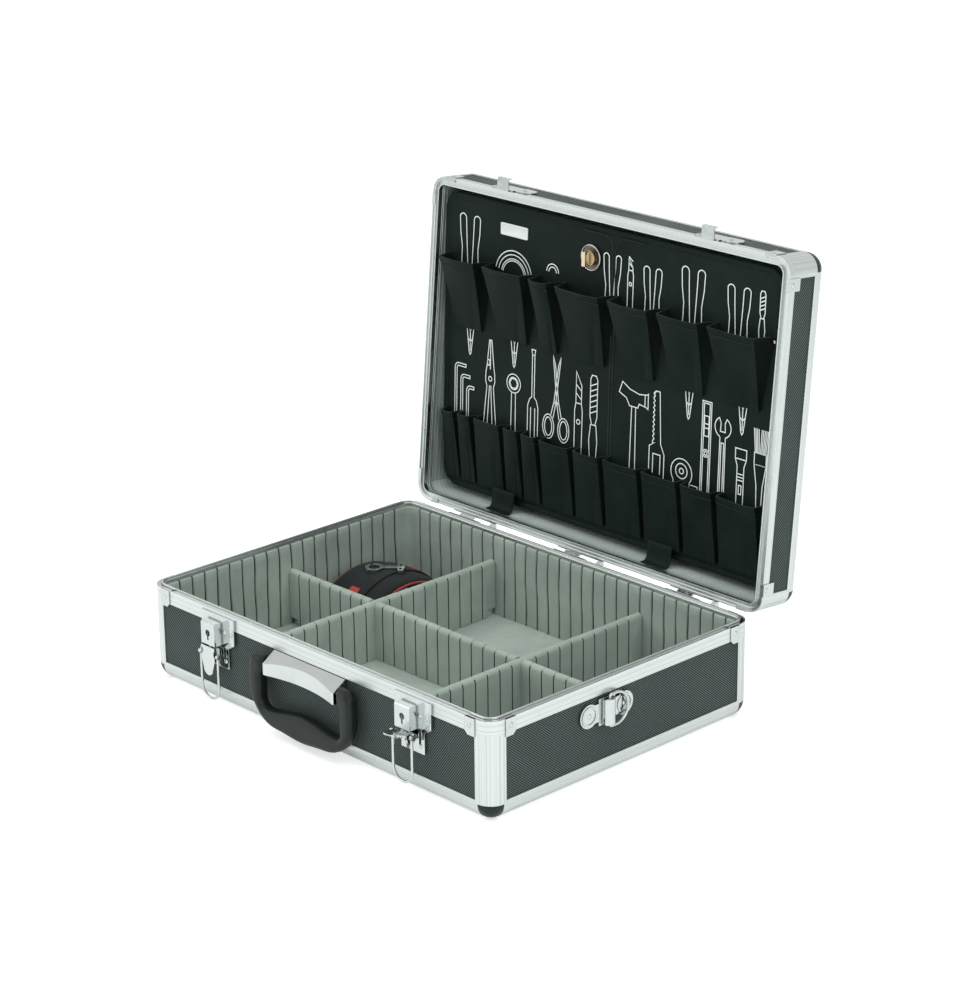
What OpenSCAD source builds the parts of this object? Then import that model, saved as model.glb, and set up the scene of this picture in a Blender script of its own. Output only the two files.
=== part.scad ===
// Hard tool case: aluminium-framed base and lid, two key latches with wire bails,
// carrying handle, strap rings, stop hinges, fitted dividers and a lift-down tool pallet.
// Origin: centre of the base's underside. +X to the right, the latches face -Y, +Z up.
// The lid is drawn shut and then turned about the hinge axis to its open stop.

/* [Case] */
// Outside width of the case
case_w = 460; // [400:5:600]
// Outside depth, front to back
case_d = 330; // [280:5:420]
// Height of the base up to the mating line
base_h = 94; // [88:1:130]
// Height of the lid above the mating line
lid_h = 54; // [50:1:70]
// Radius of the rounded outer edges and corners
corner_r = 16; // [14:1:20]
// Angle of the open lid, measured from shut
open_angle = 95.2; // [90:0.1:98]

/* [Extrusions] */
// Skin thickness of the aluminium profiles
skin_t = 1.2; // [1:0.1:1.6]
// Flat lip of the edge profiles past the rounding
edge_lip = 3; // [2:0.5:5]
// Height of the base rim's outer flange
base_rim_h = 13.5; // [11:0.5:16]
// Height of the lid rim's outer flange
lid_rim_h = 8.5; // [7:0.5:12]
// Width of the rim across the wall, short of the divider grooves
rim_w = 7.8; // [7.6:0.1:9]
// Height of the sealing lip that stands on the base rim
seal_lip_h = 2; // [1.5:0.1:2.4]
// Gap left between the shut base and lid
seam_gap = 0.3; // [0.2:0.05:0.5]

/* [Walls] */
// Thickness of the laminated wall panels
panel_t = 4; // [3:0.5:4.5]
// Thickness of the ribbed lining
lining_t = 3.4; // [3:0.2:5]
// Thickness of the lid's plain lining
lid_lining_t = 2.4; // [1.5:0.1:3]
// Distance between the lining's divider grooves
groove_pitch = 15.2; // [12:0.1:20]
// Width of a divider groove
groove_w = 2; // [1.6:0.1:2.6]
// Depth of a divider groove
groove_depth = 2; // [1.2:0.1:2.4]

/* [Dividers] */
// Thickness of a divider
divider_t = 9; // [6:0.5:12]
// Distance from the rim down to the dividers' tops
divider_drop = 28; // [20:1:40]
// Thickness of the tongue that enters a groove
tongue_t = 1.5; // [1:0.1:1.6]
// Groove pitches from the middle to each cross divider
cross_pitches = 6.5; // [4.5:1:8.5]

/* [Latches] */
// Distance of the latches from the middle
latch_x = 132; // [110:1:150]
// Width of the latch housing
housing_w = 19; // [17:0.5:22]
// Depth of the latch housing off its plate
housing_depth = 9; // [8:0.5:11]
// Radius from the lever pivot to the bail's pivot
bail_throw = 2.8; // [2:0.1:3.4]
// Reach of the bail from its pivot
bail_reach = 44; // [40:0.5:48]
// Diameter of the bail wire
bail_wire = 2.6; // [2:0.1:3]
// Angle of the left lever, 0 shut
left_lever_angle = 0; // [0:1:110]
// Angle of the right lever, 0 shut
right_lever_angle = 104; // [0:1:110]
// Length of a lever below its pivot
lever_len = 23; // [18:0.5:28]

/* [Handle] */
// Overall width of the handle
handle_w = 138; // [120:1:160]
// Drop of the handle below its pivots
handle_drop = 60; // [50:1:63]
// Width of the handle's section
grip_w = 16; // [12:0.5:18]
// Thickness of the handle's section
grip_t = 13; // [10:0.5:15]
// Radius of the handle's lower corners
handle_corner_r = 28; // [20:1:34]
// Gap between the chrome bracket's ends and the handle's arms
handle_side_gap = 5; // [4:0.5:8]
// Drop of the handle's pivots below the mating line
handle_pivot_drop = 24; // [22:1:28]

/* [Strap rings] */
// Distance of a strap ring ahead of the middle of its side
ring_y = 26; // [0:1:60]
// Drop of a strap ring below the mating line
ring_drop = 29; // [28:1:44]
// Height of the ring over its bends
ring_bar = 30; // [28:1:34]
// Reach of the ring from its bar
ring_reach = 23; // [20:1:28]
// Diameter of the ring wire
ring_wire = 2.6; // [2:0.1:3.2]

/* [Hinges] */
// Distance between hinge centres
hinge_pitch = 147; // [110:1:170]
// Distance of the hinge axis behind the back wall
hinge_out = 5; // [4.5:0.1:6]
// Distance of the hinge axis below the mating line
hinge_down = 5; // [4.5:0.1:6]
// Radius of the hinge knuckles
knuckle_r = 3; // [2.6:0.1:3.2]
// Diameter of the hinge pin
hinge_pin_d = 3; // [2:0.1:3.4]
// Length of the knuckle row
knuckle_len = 42; // [36:1:50]

/* [Pallet] */
// Thickness of the pallet board
board_t = 4; // [3:0.5:5]
// Gap between the pallet and the lid's lining
pallet_gap = 2; // [1.5:0.5:5]
// Distance of the pallet's foot behind the lid's mating face
pallet_depth = 25; // [22:0.5:32]
// Lean of the pallet back from upright in the open lid
pallet_lean = 1.9; // [1:0.1:2.5]
// Widths of the upper pockets, left to right
upper_pockets = [54, 58, 32, 62, 56, 56, 62];
// Widths of the lower pockets, left to right
lower_pockets = [22, 22, 40, 24, 24, 44, 38, 48, 48, 42, 52];
// Depth of the flared mouth of an upper pocket
upper_mouth = 20; // [14:1:22]
// Depth of the mouth of a lower pocket
lower_mouth = 13; // [10:1:15]
// Thickness of the pocket vinyl
vinyl_t = 1.2; // [0.8:0.1:1.6]
// Diameter of the turn lock's rose
rose_d = 26; // [20:1:30]

/* [Strap] */
// Width of the shoulder pad
pad_w = 72; // [44:1:80]

/* [Hidden] */
$fn = 48;
hull_fn = 28;
touch = 0.3;                                   // clearance between seated soft pieces
fit = 0.05;                                    // running clearance round pins
cut_gap = 0.1;                                 // saw gap between two profiles
rivet_head_d = 5;
rivet_head_h = 1.1;
rivet_shank_d = 2.6;

panel_in = skin_t + panel_t;                   // inner face of the panels
inner_in = panel_in + skin_t;                  // inner face of the profiles
lining_in = inner_in + lining_t;               // inner face of the base lining
lid_lining_in = inner_in + lid_lining_t;       // inner face of the lid lining
edge_flange = corner_r + edge_lip;             // reach of an edge profile along each face
run_x = case_w - 2 * corner_r;                 // straight run of the long sides
run_y = case_d - 2 * corner_r;                 // straight run of the short sides
case_top = base_h + lid_h;
front_y = -case_d / 2;
back_y = case_d / 2;
side_x = case_w / 2;
web_t = 1.8;                                   // thickness of the rims' webs
channel_d = 1.2;                               // depth of the rims' bracket channel
lip_in = 4.6;                                  // outer side of the sealing lip
lip_t = 1.4;
lip_clear_out = 0.6;
lip_clear_in = 1.4;                            // room for the lip as the lid swings
floor_top = inner_in + 2;                      // top of the floor lining
floor_lining_t = 2;
lid_flange_up = 3.5;                           // lid rim's inner flange above its outer one

axis_y = back_y + hinge_out;                   // hinge axis
axis_z = base_h - hinge_down;

bracket_from = corner_r + 2;                   // flap of a corner bracket, from the corner
bracket_to = corner_r + 14;
flap_t = 0.9;
flap_drop = 16.5;

latch_pivot_out = 8;                           // lever pivot off the front face
latch_pivot_z = base_h - 38;
latch_pin_d = 2;
plate_ear_d = 3.4;                             // eye of a plate ear, inside the lever's tongue
plate_stem_top = 0.4;                          // stem of a plate ear, down from the pivot
plate_stem_foot = 4.2;
latch_hole_in = 3.7;                           // clearance holes' depth in the front panel
plate_t = 1.3;
plate_top = base_h - 3;
plate_left = -19;                              // plate edges measured from the housing's middle
plate_right = 28;
plate_mid_z = base_h - 27;
plate_foot_z = base_h - 53;
foot_right = 18.5;
housing_top = base_h - 9;
housing_foot = base_h - 31;
sheet_t = 1.2;                                 // pressed steel of housings and levers
ear_gap = 0.4;
bail_in = housing_w / 2 + ear_gap + bail_wire / 2 + 0.9;  // bail leg from the latch's middle
stud_d = 2.2;
stud_in = housing_w / 2 - 1.5;                 // inner end of a bail stud
stud_out = bail_in + bail_wire / 2 + 0.3;      // seat of a bail stud's head
stud_head_t = 0.7;
bail_angle = 245;                              // direction from lever pivot to bail pivot

handle_out = grip_t / 2 + 3;                   // handle's middle plane off the front face
handle_bracket_w = handle_w - 2 * (grip_w + handle_side_gap);
handle_pivot_z = base_h - handle_pivot_drop;
handle_pin_d = 5;
boss_len = 6;

ring_out = 4.6;                                // ring bar off the side face
ring_z = base_h - ring_drop;

pallet_w = case_w - 2 * (lid_lining_in + pallet_gap);
pallet_face_gap = 1.7;                         // lean takes this up between foot and middle
pallet_foot_y = axis_y + hinge_down + pallet_depth + pallet_face_gap;
pallet_foot_z = axis_z + 17;
pallet_h = case_d - 2 * lid_lining_in - 10;
pallet_corner_r = 20;
pocket_inset = 8;
upper_top = pallet_h - 62;                     // heights above the pallet's foot
upper_foot = pallet_h - 134;
lower_top = 82;
lower_foot = 12;
lock_x = -18;
lock_drop = 32;                                // turn lock below the pallet's top
lock_up = pallet_h - lock_drop;

// ---- placing helpers ----

// Carries a piece drawn shut to its place on the open lid.
module open_lid() {
    translate([0, axis_y, axis_z]) rotate([-open_angle, 0, 0])
        translate([0, -axis_y, -axis_z]) children();
}

// Turns a piece drawn on the front wall's run to each of the four walls in turn.
module on_front() translate([0, front_y, 0]) children();
module on_back() rotate([0, 0, 180]) translate([0, front_y, 0]) children();
module on_right() rotate([0, 0, 90]) translate([0, -side_x, 0]) children();
module on_left() rotate([0, 0, -90]) translate([0, -side_x, 0]) children();

// A run along X of a section drawn as (inward, up).
module run(length) translate([-length / 2, 0, 0]) rotate([90, 0, 90])
    linear_extrude(length) children();

// The four plan corners, each with its own centre of rounding and turn.
module at_corners() for (c = [[1, -1, -90], [1, 1, 0], [-1, 1, 90], [-1, -1, 180]])
    translate([c[0] * (side_x - corner_r), c[1] * (back_y - corner_r), 0])
        rotate([0, 0, c[2]]) children();

// A section drawn as (inward, up), carried all the way round the case.
module frame_ring() {
    on_front() run(run_x) children();
    on_back() run(run_x) children();
    on_right() run(run_y) children();
    on_left() run(run_y) children();
    at_corners() rotate_extrude(angle = 90) translate([corner_r, 0]) mirror([1, 0]) children();
}

// A rectangle from its lower left to its upper right corner.
module rect(a, b) translate(a) square([b[0] - a[0], b[1] - a[1]]);

// A box from its lowest to its highest corner.
module block(a, b) translate(a) cube([b[0] - a[0], b[1] - a[1], b[2] - a[2]]);

// A domed rivet standing on a face, drawn along -Y with its seat at y = 0.
module rivet(grip) {
    dome_r = (pow(rivet_head_d / 2, 2) + pow(rivet_head_h, 2)) / (2 * rivet_head_h);
    intersection() {
        translate([0, dome_r - rivet_head_h, 0]) sphere(r = dome_r);
        block([-rivet_head_d, -rivet_head_h - 1, -rivet_head_d], [rivet_head_d, 0, rivet_head_d]);
    }
    rotate([-90, 0, 0]) cylinder(d = rivet_shank_d, h = grip);
}

// The clearance hole of such a rivet, cut from y = 0 inward.
module rivet_hole(depth) translate([0, -0.5, 0]) rotate([-90, 0, 0])
    cylinder(d = rivet_shank_d + 2 * fit, h = depth + 0.5);

// ---- profiles, drawn as (inward, up) ----

// Section of the base rim, with the mating line at 0.
module base_rim_section() {
    rect([0, -base_rim_h], [skin_t, 0]);
    rect([0, -channel_d - web_t], [inner_in, -channel_d]);
    rect([panel_in, -base_rim_h + 1.5], [inner_in, 0]);
    rect([lip_in, -channel_d - web_t], [rim_w, -0.2]);
    translate([lip_in, -1]) square([lip_t, seal_lip_h + 0.4]);
    translate([lip_in + lip_t / 2, seal_lip_h - lip_t / 2]) circle(d = lip_t);
}

// Section of the lid rim, with the mating line at 0 and the lid above it.
module lid_rim_section() difference() {
    union() {
        rect([0, seam_gap], [skin_t, lid_rim_h]);
        rect([0, seam_gap + channel_d], [lip_in - lip_clear_out, 4.6]);
        rect([lip_in - lip_clear_out - 0.8, 2.8], [rim_w + 0.6, 4.6]);
        rect([lip_in + lip_t + lip_clear_in, seam_gap], [rim_w + 0.6, 4.6]);
        rect([panel_in, 4.6], [inner_in, lid_rim_h + lid_flange_up]);
    }
    for (i = [0:2]) translate([inner_in, 5.6 + i * 2]) circle(d = 0.7, $fn = 4);
    translate([rim_w - 0.2, seam_gap]) circle(d = 0.7, $fn = 4);
}

// Section of the rounded edge profile with its panel channels.
module edge_section() {
    difference() {
        intersection() {
            square(edge_flange);
            union() {
                translate([corner_r, corner_r]) circle(r = corner_r);
                rect([corner_r, 0], [edge_flange, edge_flange]);
                rect([0, corner_r], [edge_flange, edge_flange]);
            }
        }
        translate([corner_r, corner_r]) circle(r = corner_r - skin_t);
        rect([corner_r, skin_t], [edge_flange + 1, edge_flange + 1]);
        rect([skin_t, corner_r], [edge_flange + 1, edge_flange + 1]);
    }
    for (m = [0, 1]) mirror([m, -m]) {
        rect([skin_t / 2, corner_r - skin_t], [panel_in + skin_t / 2, corner_r]);
        rect([panel_in, panel_in], [inner_in, edge_flange]);
    }
}

// ---- base shell ----

// Cuts shared by the rim and the corner bracket of one corner, seen as two mirrored arms.

// Carries a bracket drawn with the case corner at the origin, +X and +Y inward,
// to every corner.
module at_case_corners() for (c = [[-1, -1], [1, -1], [1, 1], [-1, 1]])
    translate([c[0] * side_x, c[1] * back_y, 0]) scale_sign(c) children();

// Mirrors a corner piece into the quadrant that the signs name.
module scale_sign(c) mirror([c[0] > 0 ? 1 : 0, 0, 0]) mirror([0, c[1] > 0 ? 1 : 0, 0]) children();

// Notches and rivet holes that a bracket needs in a rim, along +Z away from the seam.
module bracket_cuts() for (m = [0, 1]) mirror([m, -m, 0]) {
    block([bracket_from, -1, -1], [bracket_to, skin_t, channel_d]);
    translate([(bracket_from + bracket_to) / 2, 0, 7]) rivet_hole(skin_t + 1);
}

module base_rim() color("gainsboro") difference() {
    translate([0, 0, base_h]) frame_ring() base_rim_section();
    at_case_corners() translate([0, 0, base_h]) mirror([0, 0, 1]) bracket_cuts();
    for (s = [-1, 1]) translate([s * latch_x, front_y, 0]) latch_rivet_holes(skin_t + 1);
}

// A wall panel of the given length between two heights, in the front wall's place.
module wall_panel(length, low, high)
    block([-length / 2, skin_t, low], [length / 2, panel_in, high]);

base_panel_top = base_h - channel_d - web_t;

module base_panel_front() color("#343838") difference() {
    on_front() wall_panel(run_x, corner_r, base_panel_top);
    for (s = [-1, 1]) translate([s * latch_x, front_y, 0]) latch_rivet_holes(latch_hole_in);
}

module base_panel_back() color("#343838") difference() {
    on_back() wall_panel(run_x, corner_r, base_panel_top);
    at_hinges() base_leaf_holes();
}

module base_panel_left() color("#343838") difference() {
    on_left() wall_panel(run_y, corner_r, base_panel_top);
    at_ring_plate(-1) ring_rivet_holes();
}

module base_panel_right() color("#343838") difference() {
    on_right() wall_panel(run_y, corner_r, base_panel_top);
    at_ring_plate(1) ring_rivet_holes();
}

// The bottom panel: its edges lie under the rails' lips, and its field is flush with them.
module base_panel_bottom() color("#2c2f2f") {
    field_x = run_x / 2 - edge_lip - touch;
    field_y = run_y / 2 - edge_lip - touch;
    block([-run_x / 2, -run_y / 2, skin_t], [run_x / 2, run_y / 2, panel_in]);
    block([-field_x, -field_y, 0], [field_x, field_y, skin_t]);
}

// A corner post between two heights, its outer corner at the origin.
module post(low, high) translate([0, 0, low]) linear_extrude(high - low) edge_section();

module base_posts() color("gainsboro") at_case_corners() post(corner_r, base_h - base_rim_h);

// The four edge profiles round a flat face, with that face at z = 0: each is cut back
// for the posts, and the short ones for the flanges of the long ones.
module edge_frame() difference() {
    union() {
        on_front() run(run_x) edge_section();
        on_back() run(run_x) edge_section();
        difference() {
            union() {
                on_right() run(run_y) edge_section();
                on_left() run(run_y) edge_section();
            }
            at_case_corners() block([corner_r - cut_gap, -1, -1],
                [edge_flange + 1, edge_flange + cut_gap, corner_r]);
        }
    }
    at_case_corners() block([-1, -1, corner_r], [edge_flange, edge_flange, edge_flange + 1]);
}

module base_edge_rails() color("gainsboro") edge_frame();

// A moulded ball corner with its inner corner cut out for the panels.
module ball_corner() difference() {
    intersection() {
        translate([corner_r, corner_r, corner_r]) sphere(r = corner_r);
        cube(corner_r);
    }
    block([inner_in, inner_in, inner_in], [corner_r + 1, corner_r + 1, corner_r + 1]);
}

module base_ball_corners() color("#1d2020") at_case_corners() ball_corner();

// A pressed corner bracket for the rim below the seam, the seam at z = 0 and -Z down.
module bracket() difference() {
    union() {
        for (m = [0, 1]) mirror([m, -m, 0]) {
            block([corner_r, skin_t, -channel_d], [bracket_to, lip_in - lip_clear_out, -0.2]);
            block([bracket_from, -flap_t, -channel_d], [bracket_to, skin_t, -0.2]);
            block([bracket_from, -flap_t, -flap_drop], [bracket_to, 0, -0.2]);
        }
        translate([corner_r, corner_r, -channel_d]) rotate([0, 0, 180])
            rotate_extrude(angle = 90) translate([corner_r - lip_in + lip_clear_out, 0])
                square([lip_in - lip_clear_out - skin_t, channel_d - 0.2]);
    }
    for (m = [0, 1]) mirror([m, -m, 0]) {
        translate([(bracket_from + bracket_to) / 2, -flap_t, -7]) rivet_hole(flap_t);
        translate([bracket_to, 0, -flap_drop]) rotate([0, 45, 0])
            cube([5, 4, 5], center = true);
    }
}

module base_brackets() color("silver") at_case_corners() translate([0, 0, base_h]) bracket();

// Both rivets of one bracket.
module bracket_rivets() for (m = [0, 1]) mirror([m, -m, 0])
    translate([(bracket_from + bracket_to) / 2, -flap_t, -7]) rivet(flap_t + skin_t);

module base_rivets() color("silver") {
    at_case_corners() translate([0, 0, base_h]) bracket_rivets();
    for (s = [-1, 1]) translate([s * latch_x, front_y - plate_t, 0])
        for (p = latch_rivets) translate([p[0], 0, p[1]]) rivet(plate_t + p[2]);
    at_hinges() for (x = leaf_rivet_x) translate([x, back_y + leaf_t, base_leaf_z])
        mirror([0, 1, 0]) rivet(leaf_t + skin_t + 2);
    for (s = [-1, 1]) at_ring_plate(s) for (u = [-1, 1])
        translate([u * ring_ear_x, -ring_plate_t, 0]) rivet(ring_plate_t + skin_t + 1.8);
}

// ---- lining ----

// A rounded rectangle inset from the case's outline.
module outline(inset) offset_free_rect(case_w - 2 * inset, case_d - 2 * inset, corner_r - inset);

// A rectangle with round corners, built from squares and circles.
module offset_free_rect(w, d, r) {
    square([w - 2 * r, d], center = true);
    square([w, d - 2 * r], center = true);
    for (sx = [-1, 1], sy = [-1, 1]) translate([sx * (w / 2 - r), sy * (d / 2 - r)]) circle(r = r);
}

// Grooves along one wall: their places along the wall run from the middle outward.
module grooves(half, start, inset) {
    count = floor((half - start * groove_pitch) / groove_pitch);
    for (s = [-1, 1], i = [0:count])
        if (i + start > 0 || s > 0)
            translate([s * (i + start) * groove_pitch, -groove_depth])
                translate([-groove_w / 2, inset]) square([groove_w, groove_depth + 1]);
}

groove_half_x = side_x - lining_in - 6;
groove_half_y = back_y - lining_in - 6;

// Share of the plan that the two long walls, or the two short ones, take up to the mitres.
module wall_share(long) {
    if (long) for (s = [-1, 1]) polygon([[0, s * (back_y - side_x)],
        [-side_x, s * back_y], [side_x, s * back_y]]);
    else for (s = [-1, 1]) polygon([[s * (side_x - back_y), 0], [s * side_x, -back_y],
        [s * side_x, back_y]]);
}

// Plan of the linings of two facing walls.
module lining_plan(long) intersection() {
    difference() {
        outline(inner_in);
        outline(lining_in);
        if (long) for (a = [0, 180]) rotate(a) translate([0, front_y])
            grooves(groove_half_x, 0.5, lining_in);
        else for (a = [90, -90]) rotate(a) translate([0, -side_x])
            grooves(groove_half_y, 0, lining_in);
    }
    wall_share(long);
}

base_lining_top = base_h - channel_d - web_t - touch;

module base_lining_long() color("#8b9590") translate([0, 0, floor_top])
    linear_extrude(base_lining_top - floor_top) lining_plan(true);

module base_lining_short() color("#8b9590") translate([0, 0, floor_top])
    linear_extrude(base_lining_top - floor_top) lining_plan(false);

module base_lining_floor() color("#9aa39d") translate([0, 0, inner_in])
    linear_extrude(floor_lining_t) outline(inner_in);

// ---- dividers ----

divider_top = base_h - divider_drop;
divider_foot = floor_top + touch;
cross_x = cross_pitches * groove_pitch;
inner_x = side_x - lining_in;
inner_y = back_y - lining_in;

// A divider board along X: rounded top edge, straight foot, tongues into both walls.
module divider(half) {
    round_r = divider_t / 2;
    rotate([90, 0, 90]) translate([0, 0, -half + touch]) linear_extrude(2 * (half - touch)) {
        translate([0, divider_top - round_r]) circle(r = round_r);
        rect([-round_r, divider_foot], [round_r, divider_top - round_r]);
    }
    block([-half - groove_depth + touch, -tongue_t / 2, divider_foot],
        [half + groove_depth - touch, tongue_t / 2, divider_top - round_r]);
}

divider_groove_depth = 1;

// Grooves down both faces of a divider, from the middle outward.
module divider_grooves(half, start) {
    last = floor((half - 4) / groove_pitch - start);
    for (s = [-1, 1], i = [0:last], side = [-1, 1]) if (i + start > 0 || s > 0)
        translate([s * (i + start) * groove_pitch, side * divider_t / 2, 0])
            block([-groove_w / 2, -divider_groove_depth, divider_foot - 1],
                [groove_w / 2, divider_groove_depth, divider_top - divider_t / 3]);
}

half_lap_z = (divider_top + divider_foot) / 2;

// Notch that a crossing divider needs, above or below the half-lap.
module lap_notch(low, high) block([-divider_t / 2 - touch / 2, -divider_t, low],
    [divider_t / 2 + touch / 2, divider_t, high]);

module divider_long() color("#8f9893") difference() {
    divider(inner_x);
    divider_grooves(inner_x, 0.5);
    for (s = [-1, 1]) translate([s * cross_x, 0, 0]) lap_notch(half_lap_z, base_h);
}

module divider_cross(s) color("#8f9893") difference() {
    translate([s * cross_x, 0, 0]) rotate([0, 0, 90]) divider(inner_y);
    translate([s * cross_x, 0, 0]) rotate([0, 0, 90]) {
        divider_grooves(inner_y, 1);
        lap_notch(0, half_lap_z + touch);
    }
}

module divider_cross_left() divider_cross(-1);
module divider_cross_right() divider_cross(1);

// ---- latches, drawn with the housing's middle at x = 0 and the front face at y = 0 ----

latch_rivets = [[13.2, base_h - 18, 3.5], [22.5, base_h - 18, 3.5], [-14.3, base_h - 18, 3.5],
    [14, base_h - 46, 3]];

module latch_rivet_holes(depth) for (p = latch_rivets)
    translate([p[0], 0, p[1]]) rivet_hole(depth);

// Plan of the latch plate, drawn as (x, z).
module latch_plate_outline() difference() {
    union() {
        rect([plate_left, plate_mid_z], [plate_right, plate_top]);
        polygon([[plate_left, plate_mid_z], [plate_right, plate_mid_z],
            [foot_right, plate_mid_z - 6], [plate_left + 8, plate_mid_z - 6]]);
        rect([plate_left + 8, plate_foot_z], [foot_right, plate_mid_z]);
    }
    rect([foot_right - 7, plate_foot_z + 8], [foot_right - 4.4, plate_mid_z - 6]);
}

// Keyhole: a round with a slot below it.
module keyhole() {
    circle(d = 6.2);
    translate([0, -4]) square([2, 6], center = true);
}

// The pressed housing: a box open at the back and foot, with a keyhole.
module latch_housing() difference() {
    block([-housing_w / 2, -housing_depth, housing_foot], [housing_w / 2, 0, housing_top]);
    block([-housing_w / 2 + sheet_t, -housing_depth + sheet_t, housing_foot - 1],
        [housing_w / 2 - sheet_t, 1, housing_top - sheet_t]);
    translate([0, -housing_depth + sheet_t + 1, base_h - 19.5]) rotate([90, 0, 0])
        linear_extrude(sheet_t + 3) keyhole();
    translate([0, -housing_depth, housing_top]) rotate([45, 0, 0])
        cube([housing_w + 2, 1.4, 1.4], center = true);
}

lever_ear_x = housing_w / 2 - sheet_t - ear_gap - 2.6;    // the plate's inner ears

// Ears on the plate that carry the lever's pivot pin.
module plate_ears() for (s = [-1, 1]) translate([s * lever_ear_x, 0, 0]) difference() {
    rotate([0, 90, 0]) linear_extrude(sheet_t, center = true) {
        translate([-latch_pivot_z, -latch_pivot_out]) circle(d = plate_ear_d);
        rect([-latch_pivot_z + plate_stem_top, -latch_pivot_out],
            [-latch_pivot_z + plate_stem_foot, 0]);
    }
    translate([0, -latch_pivot_out, latch_pivot_z]) rotate([0, 90, 0])
        cylinder(d = latch_pin_d + 2 * fit, h = 4, center = true);
}

module latch_plate() difference() {
    union() {
        rotate([90, 0, 0]) linear_extrude(plate_t) latch_plate_outline();
        translate([0, -plate_t, 0]) latch_housing();
        plate_ears();
        block([plate_right - 1.6, -plate_t - 1, plate_mid_z], [plate_right, 0, plate_top]);
    }
    for (p = latch_rivets) translate([p[0], -plate_t, p[1]]) rivet_hole(plate_t + 1);
}

module latch_plates() color("silver") for (s = [-1, 1])
    translate([s * latch_x, front_y, 0]) latch_plate();

// Turns a lever or bail drawn for a shut lever about the lever's pivot.
module lever_turn(angle) translate([0, -latch_pivot_out, latch_pivot_z])
    rotate([-angle, 0, 0]) translate([0, latch_pivot_out, -latch_pivot_z]) children();

bail_dy = bail_throw * cos(bail_angle);         // bail pivot from the lever's pivot
bail_dz = bail_throw * sin(bail_angle);
lever_half = housing_w / 2;
lever_face = housing_depth + 0.9;               // lever's outer face off the front face

// The lever: a tapered tongue with a round end, two side ears and its own pivot pin.
module latch_lever() {
    pz = latch_pivot_z;
    tip_r = 6.6;
    difference() {
        union() {
            // tongue, as seen from the front
            translate([0, -lever_face, 0]) rotate([90, 0, 0])
                linear_extrude(sheet_t) {
                    polygon([[-lever_half, pz + 5.5], [lever_half, pz + 5.5],
                        [lever_half, pz - 8], [tip_r, pz - lever_len + tip_r],
                        [-tip_r, pz - lever_len + tip_r], [-lever_half, pz - 8]]);
                    translate([0, pz - lever_len + tip_r]) circle(r = tip_r);
                }
            // side ears
            for (s = [-1, 1]) translate([s * (lever_half - sheet_t / 2), 0, 0])
                rotate([0, 90, 0]) linear_extrude(sheet_t, center = true) {
                    translate([-pz, -latch_pivot_out + 0.6]) circle(r = 5);
                    rect([-pz - 5.5, -lever_face - sheet_t / 2], [-pz + 8, -latch_pivot_out + 1]);
                }
        }
        translate([0, -latch_pivot_out + bail_dy, pz + bail_dz]) rotate([0, 90, 0])
            cylinder(d = stud_d + 2 * fit, h = housing_w + 2, center = true);
    }
    // pivot pin, fixed in the ears
    translate([0, -latch_pivot_out, pz]) rotate([0, 90, 0])
        cylinder(d = latch_pin_d, h = housing_w - sheet_t, center = true);
}

// The two headed studs that a bail hangs on, drawn round their own axis.
module bail_studs() for (s = [0, 1]) mirror([s, 0, 0]) rotate([0, 90, 0]) {
    translate([0, 0, stud_in]) cylinder(d = stud_d, h = stud_out - stud_in + stud_head_t / 2);
    translate([0, 0, stud_out]) cylinder(d = bail_wire + 1, h = stud_head_t);
}

// The wire bail, drawn hanging from its pivot at the origin, legs down.
module bail() {
    leg = bail_reach - bail_in;
    for (s = [-1, 1]) translate([s * bail_in, 0, 0]) difference() {
        union() {
            translate([0, 0, -leg]) cylinder(d = bail_wire, h = leg);
            rotate([0, 90, 0]) cylinder(d = stud_d + 2.4, h = bail_wire, center = true);
        }
        rotate([0, 90, 0]) cylinder(d = stud_d + 2 * fit, h = bail_wire + 1, center = true);
    }
    translate([0, 0, -leg]) rotate([-90, 0, 0]) rotate_extrude(angle = 180)
        translate([bail_in, 0]) circle(d = bail_wire);
}

// Carries a bail or its studs to the lever that stands at the given angle.
module at_bail_pivot(angle) {
    turned_y = bail_dy * cos(angle) + bail_dz * sin(angle);
    turned_z = -bail_dy * sin(angle) + bail_dz * cos(angle);
    translate([0, -latch_pivot_out + turned_y, latch_pivot_z + turned_z]) children();
}

module latch_lever_left() color("silver")
    translate([-latch_x, front_y, 0]) lever_turn(left_lever_angle) latch_lever();
module latch_lever_right() color("silver")
    translate([latch_x, front_y, 0]) lever_turn(right_lever_angle) latch_lever();
module bail_studs_left() color("silver")
    translate([-latch_x, front_y, 0]) at_bail_pivot(left_lever_angle) bail_studs();
module bail_studs_right() color("silver")
    translate([latch_x, front_y, 0]) at_bail_pivot(right_lever_angle) bail_studs();
module latch_bail_left() color("silver")
    translate([-latch_x, front_y, 0]) at_bail_pivot(left_lever_angle) bail();
module latch_bail_right() color("silver")
    translate([latch_x, front_y, 0]) at_bail_pivot(right_lever_angle) bail();

// ---- handle ----

bracket_top_z = base_h - base_rim_h - 0.4;
bracket_front_out = 15;
bracket_low_z = bracket_top_z - 20;
bracket_fold_drop = 9;

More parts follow.
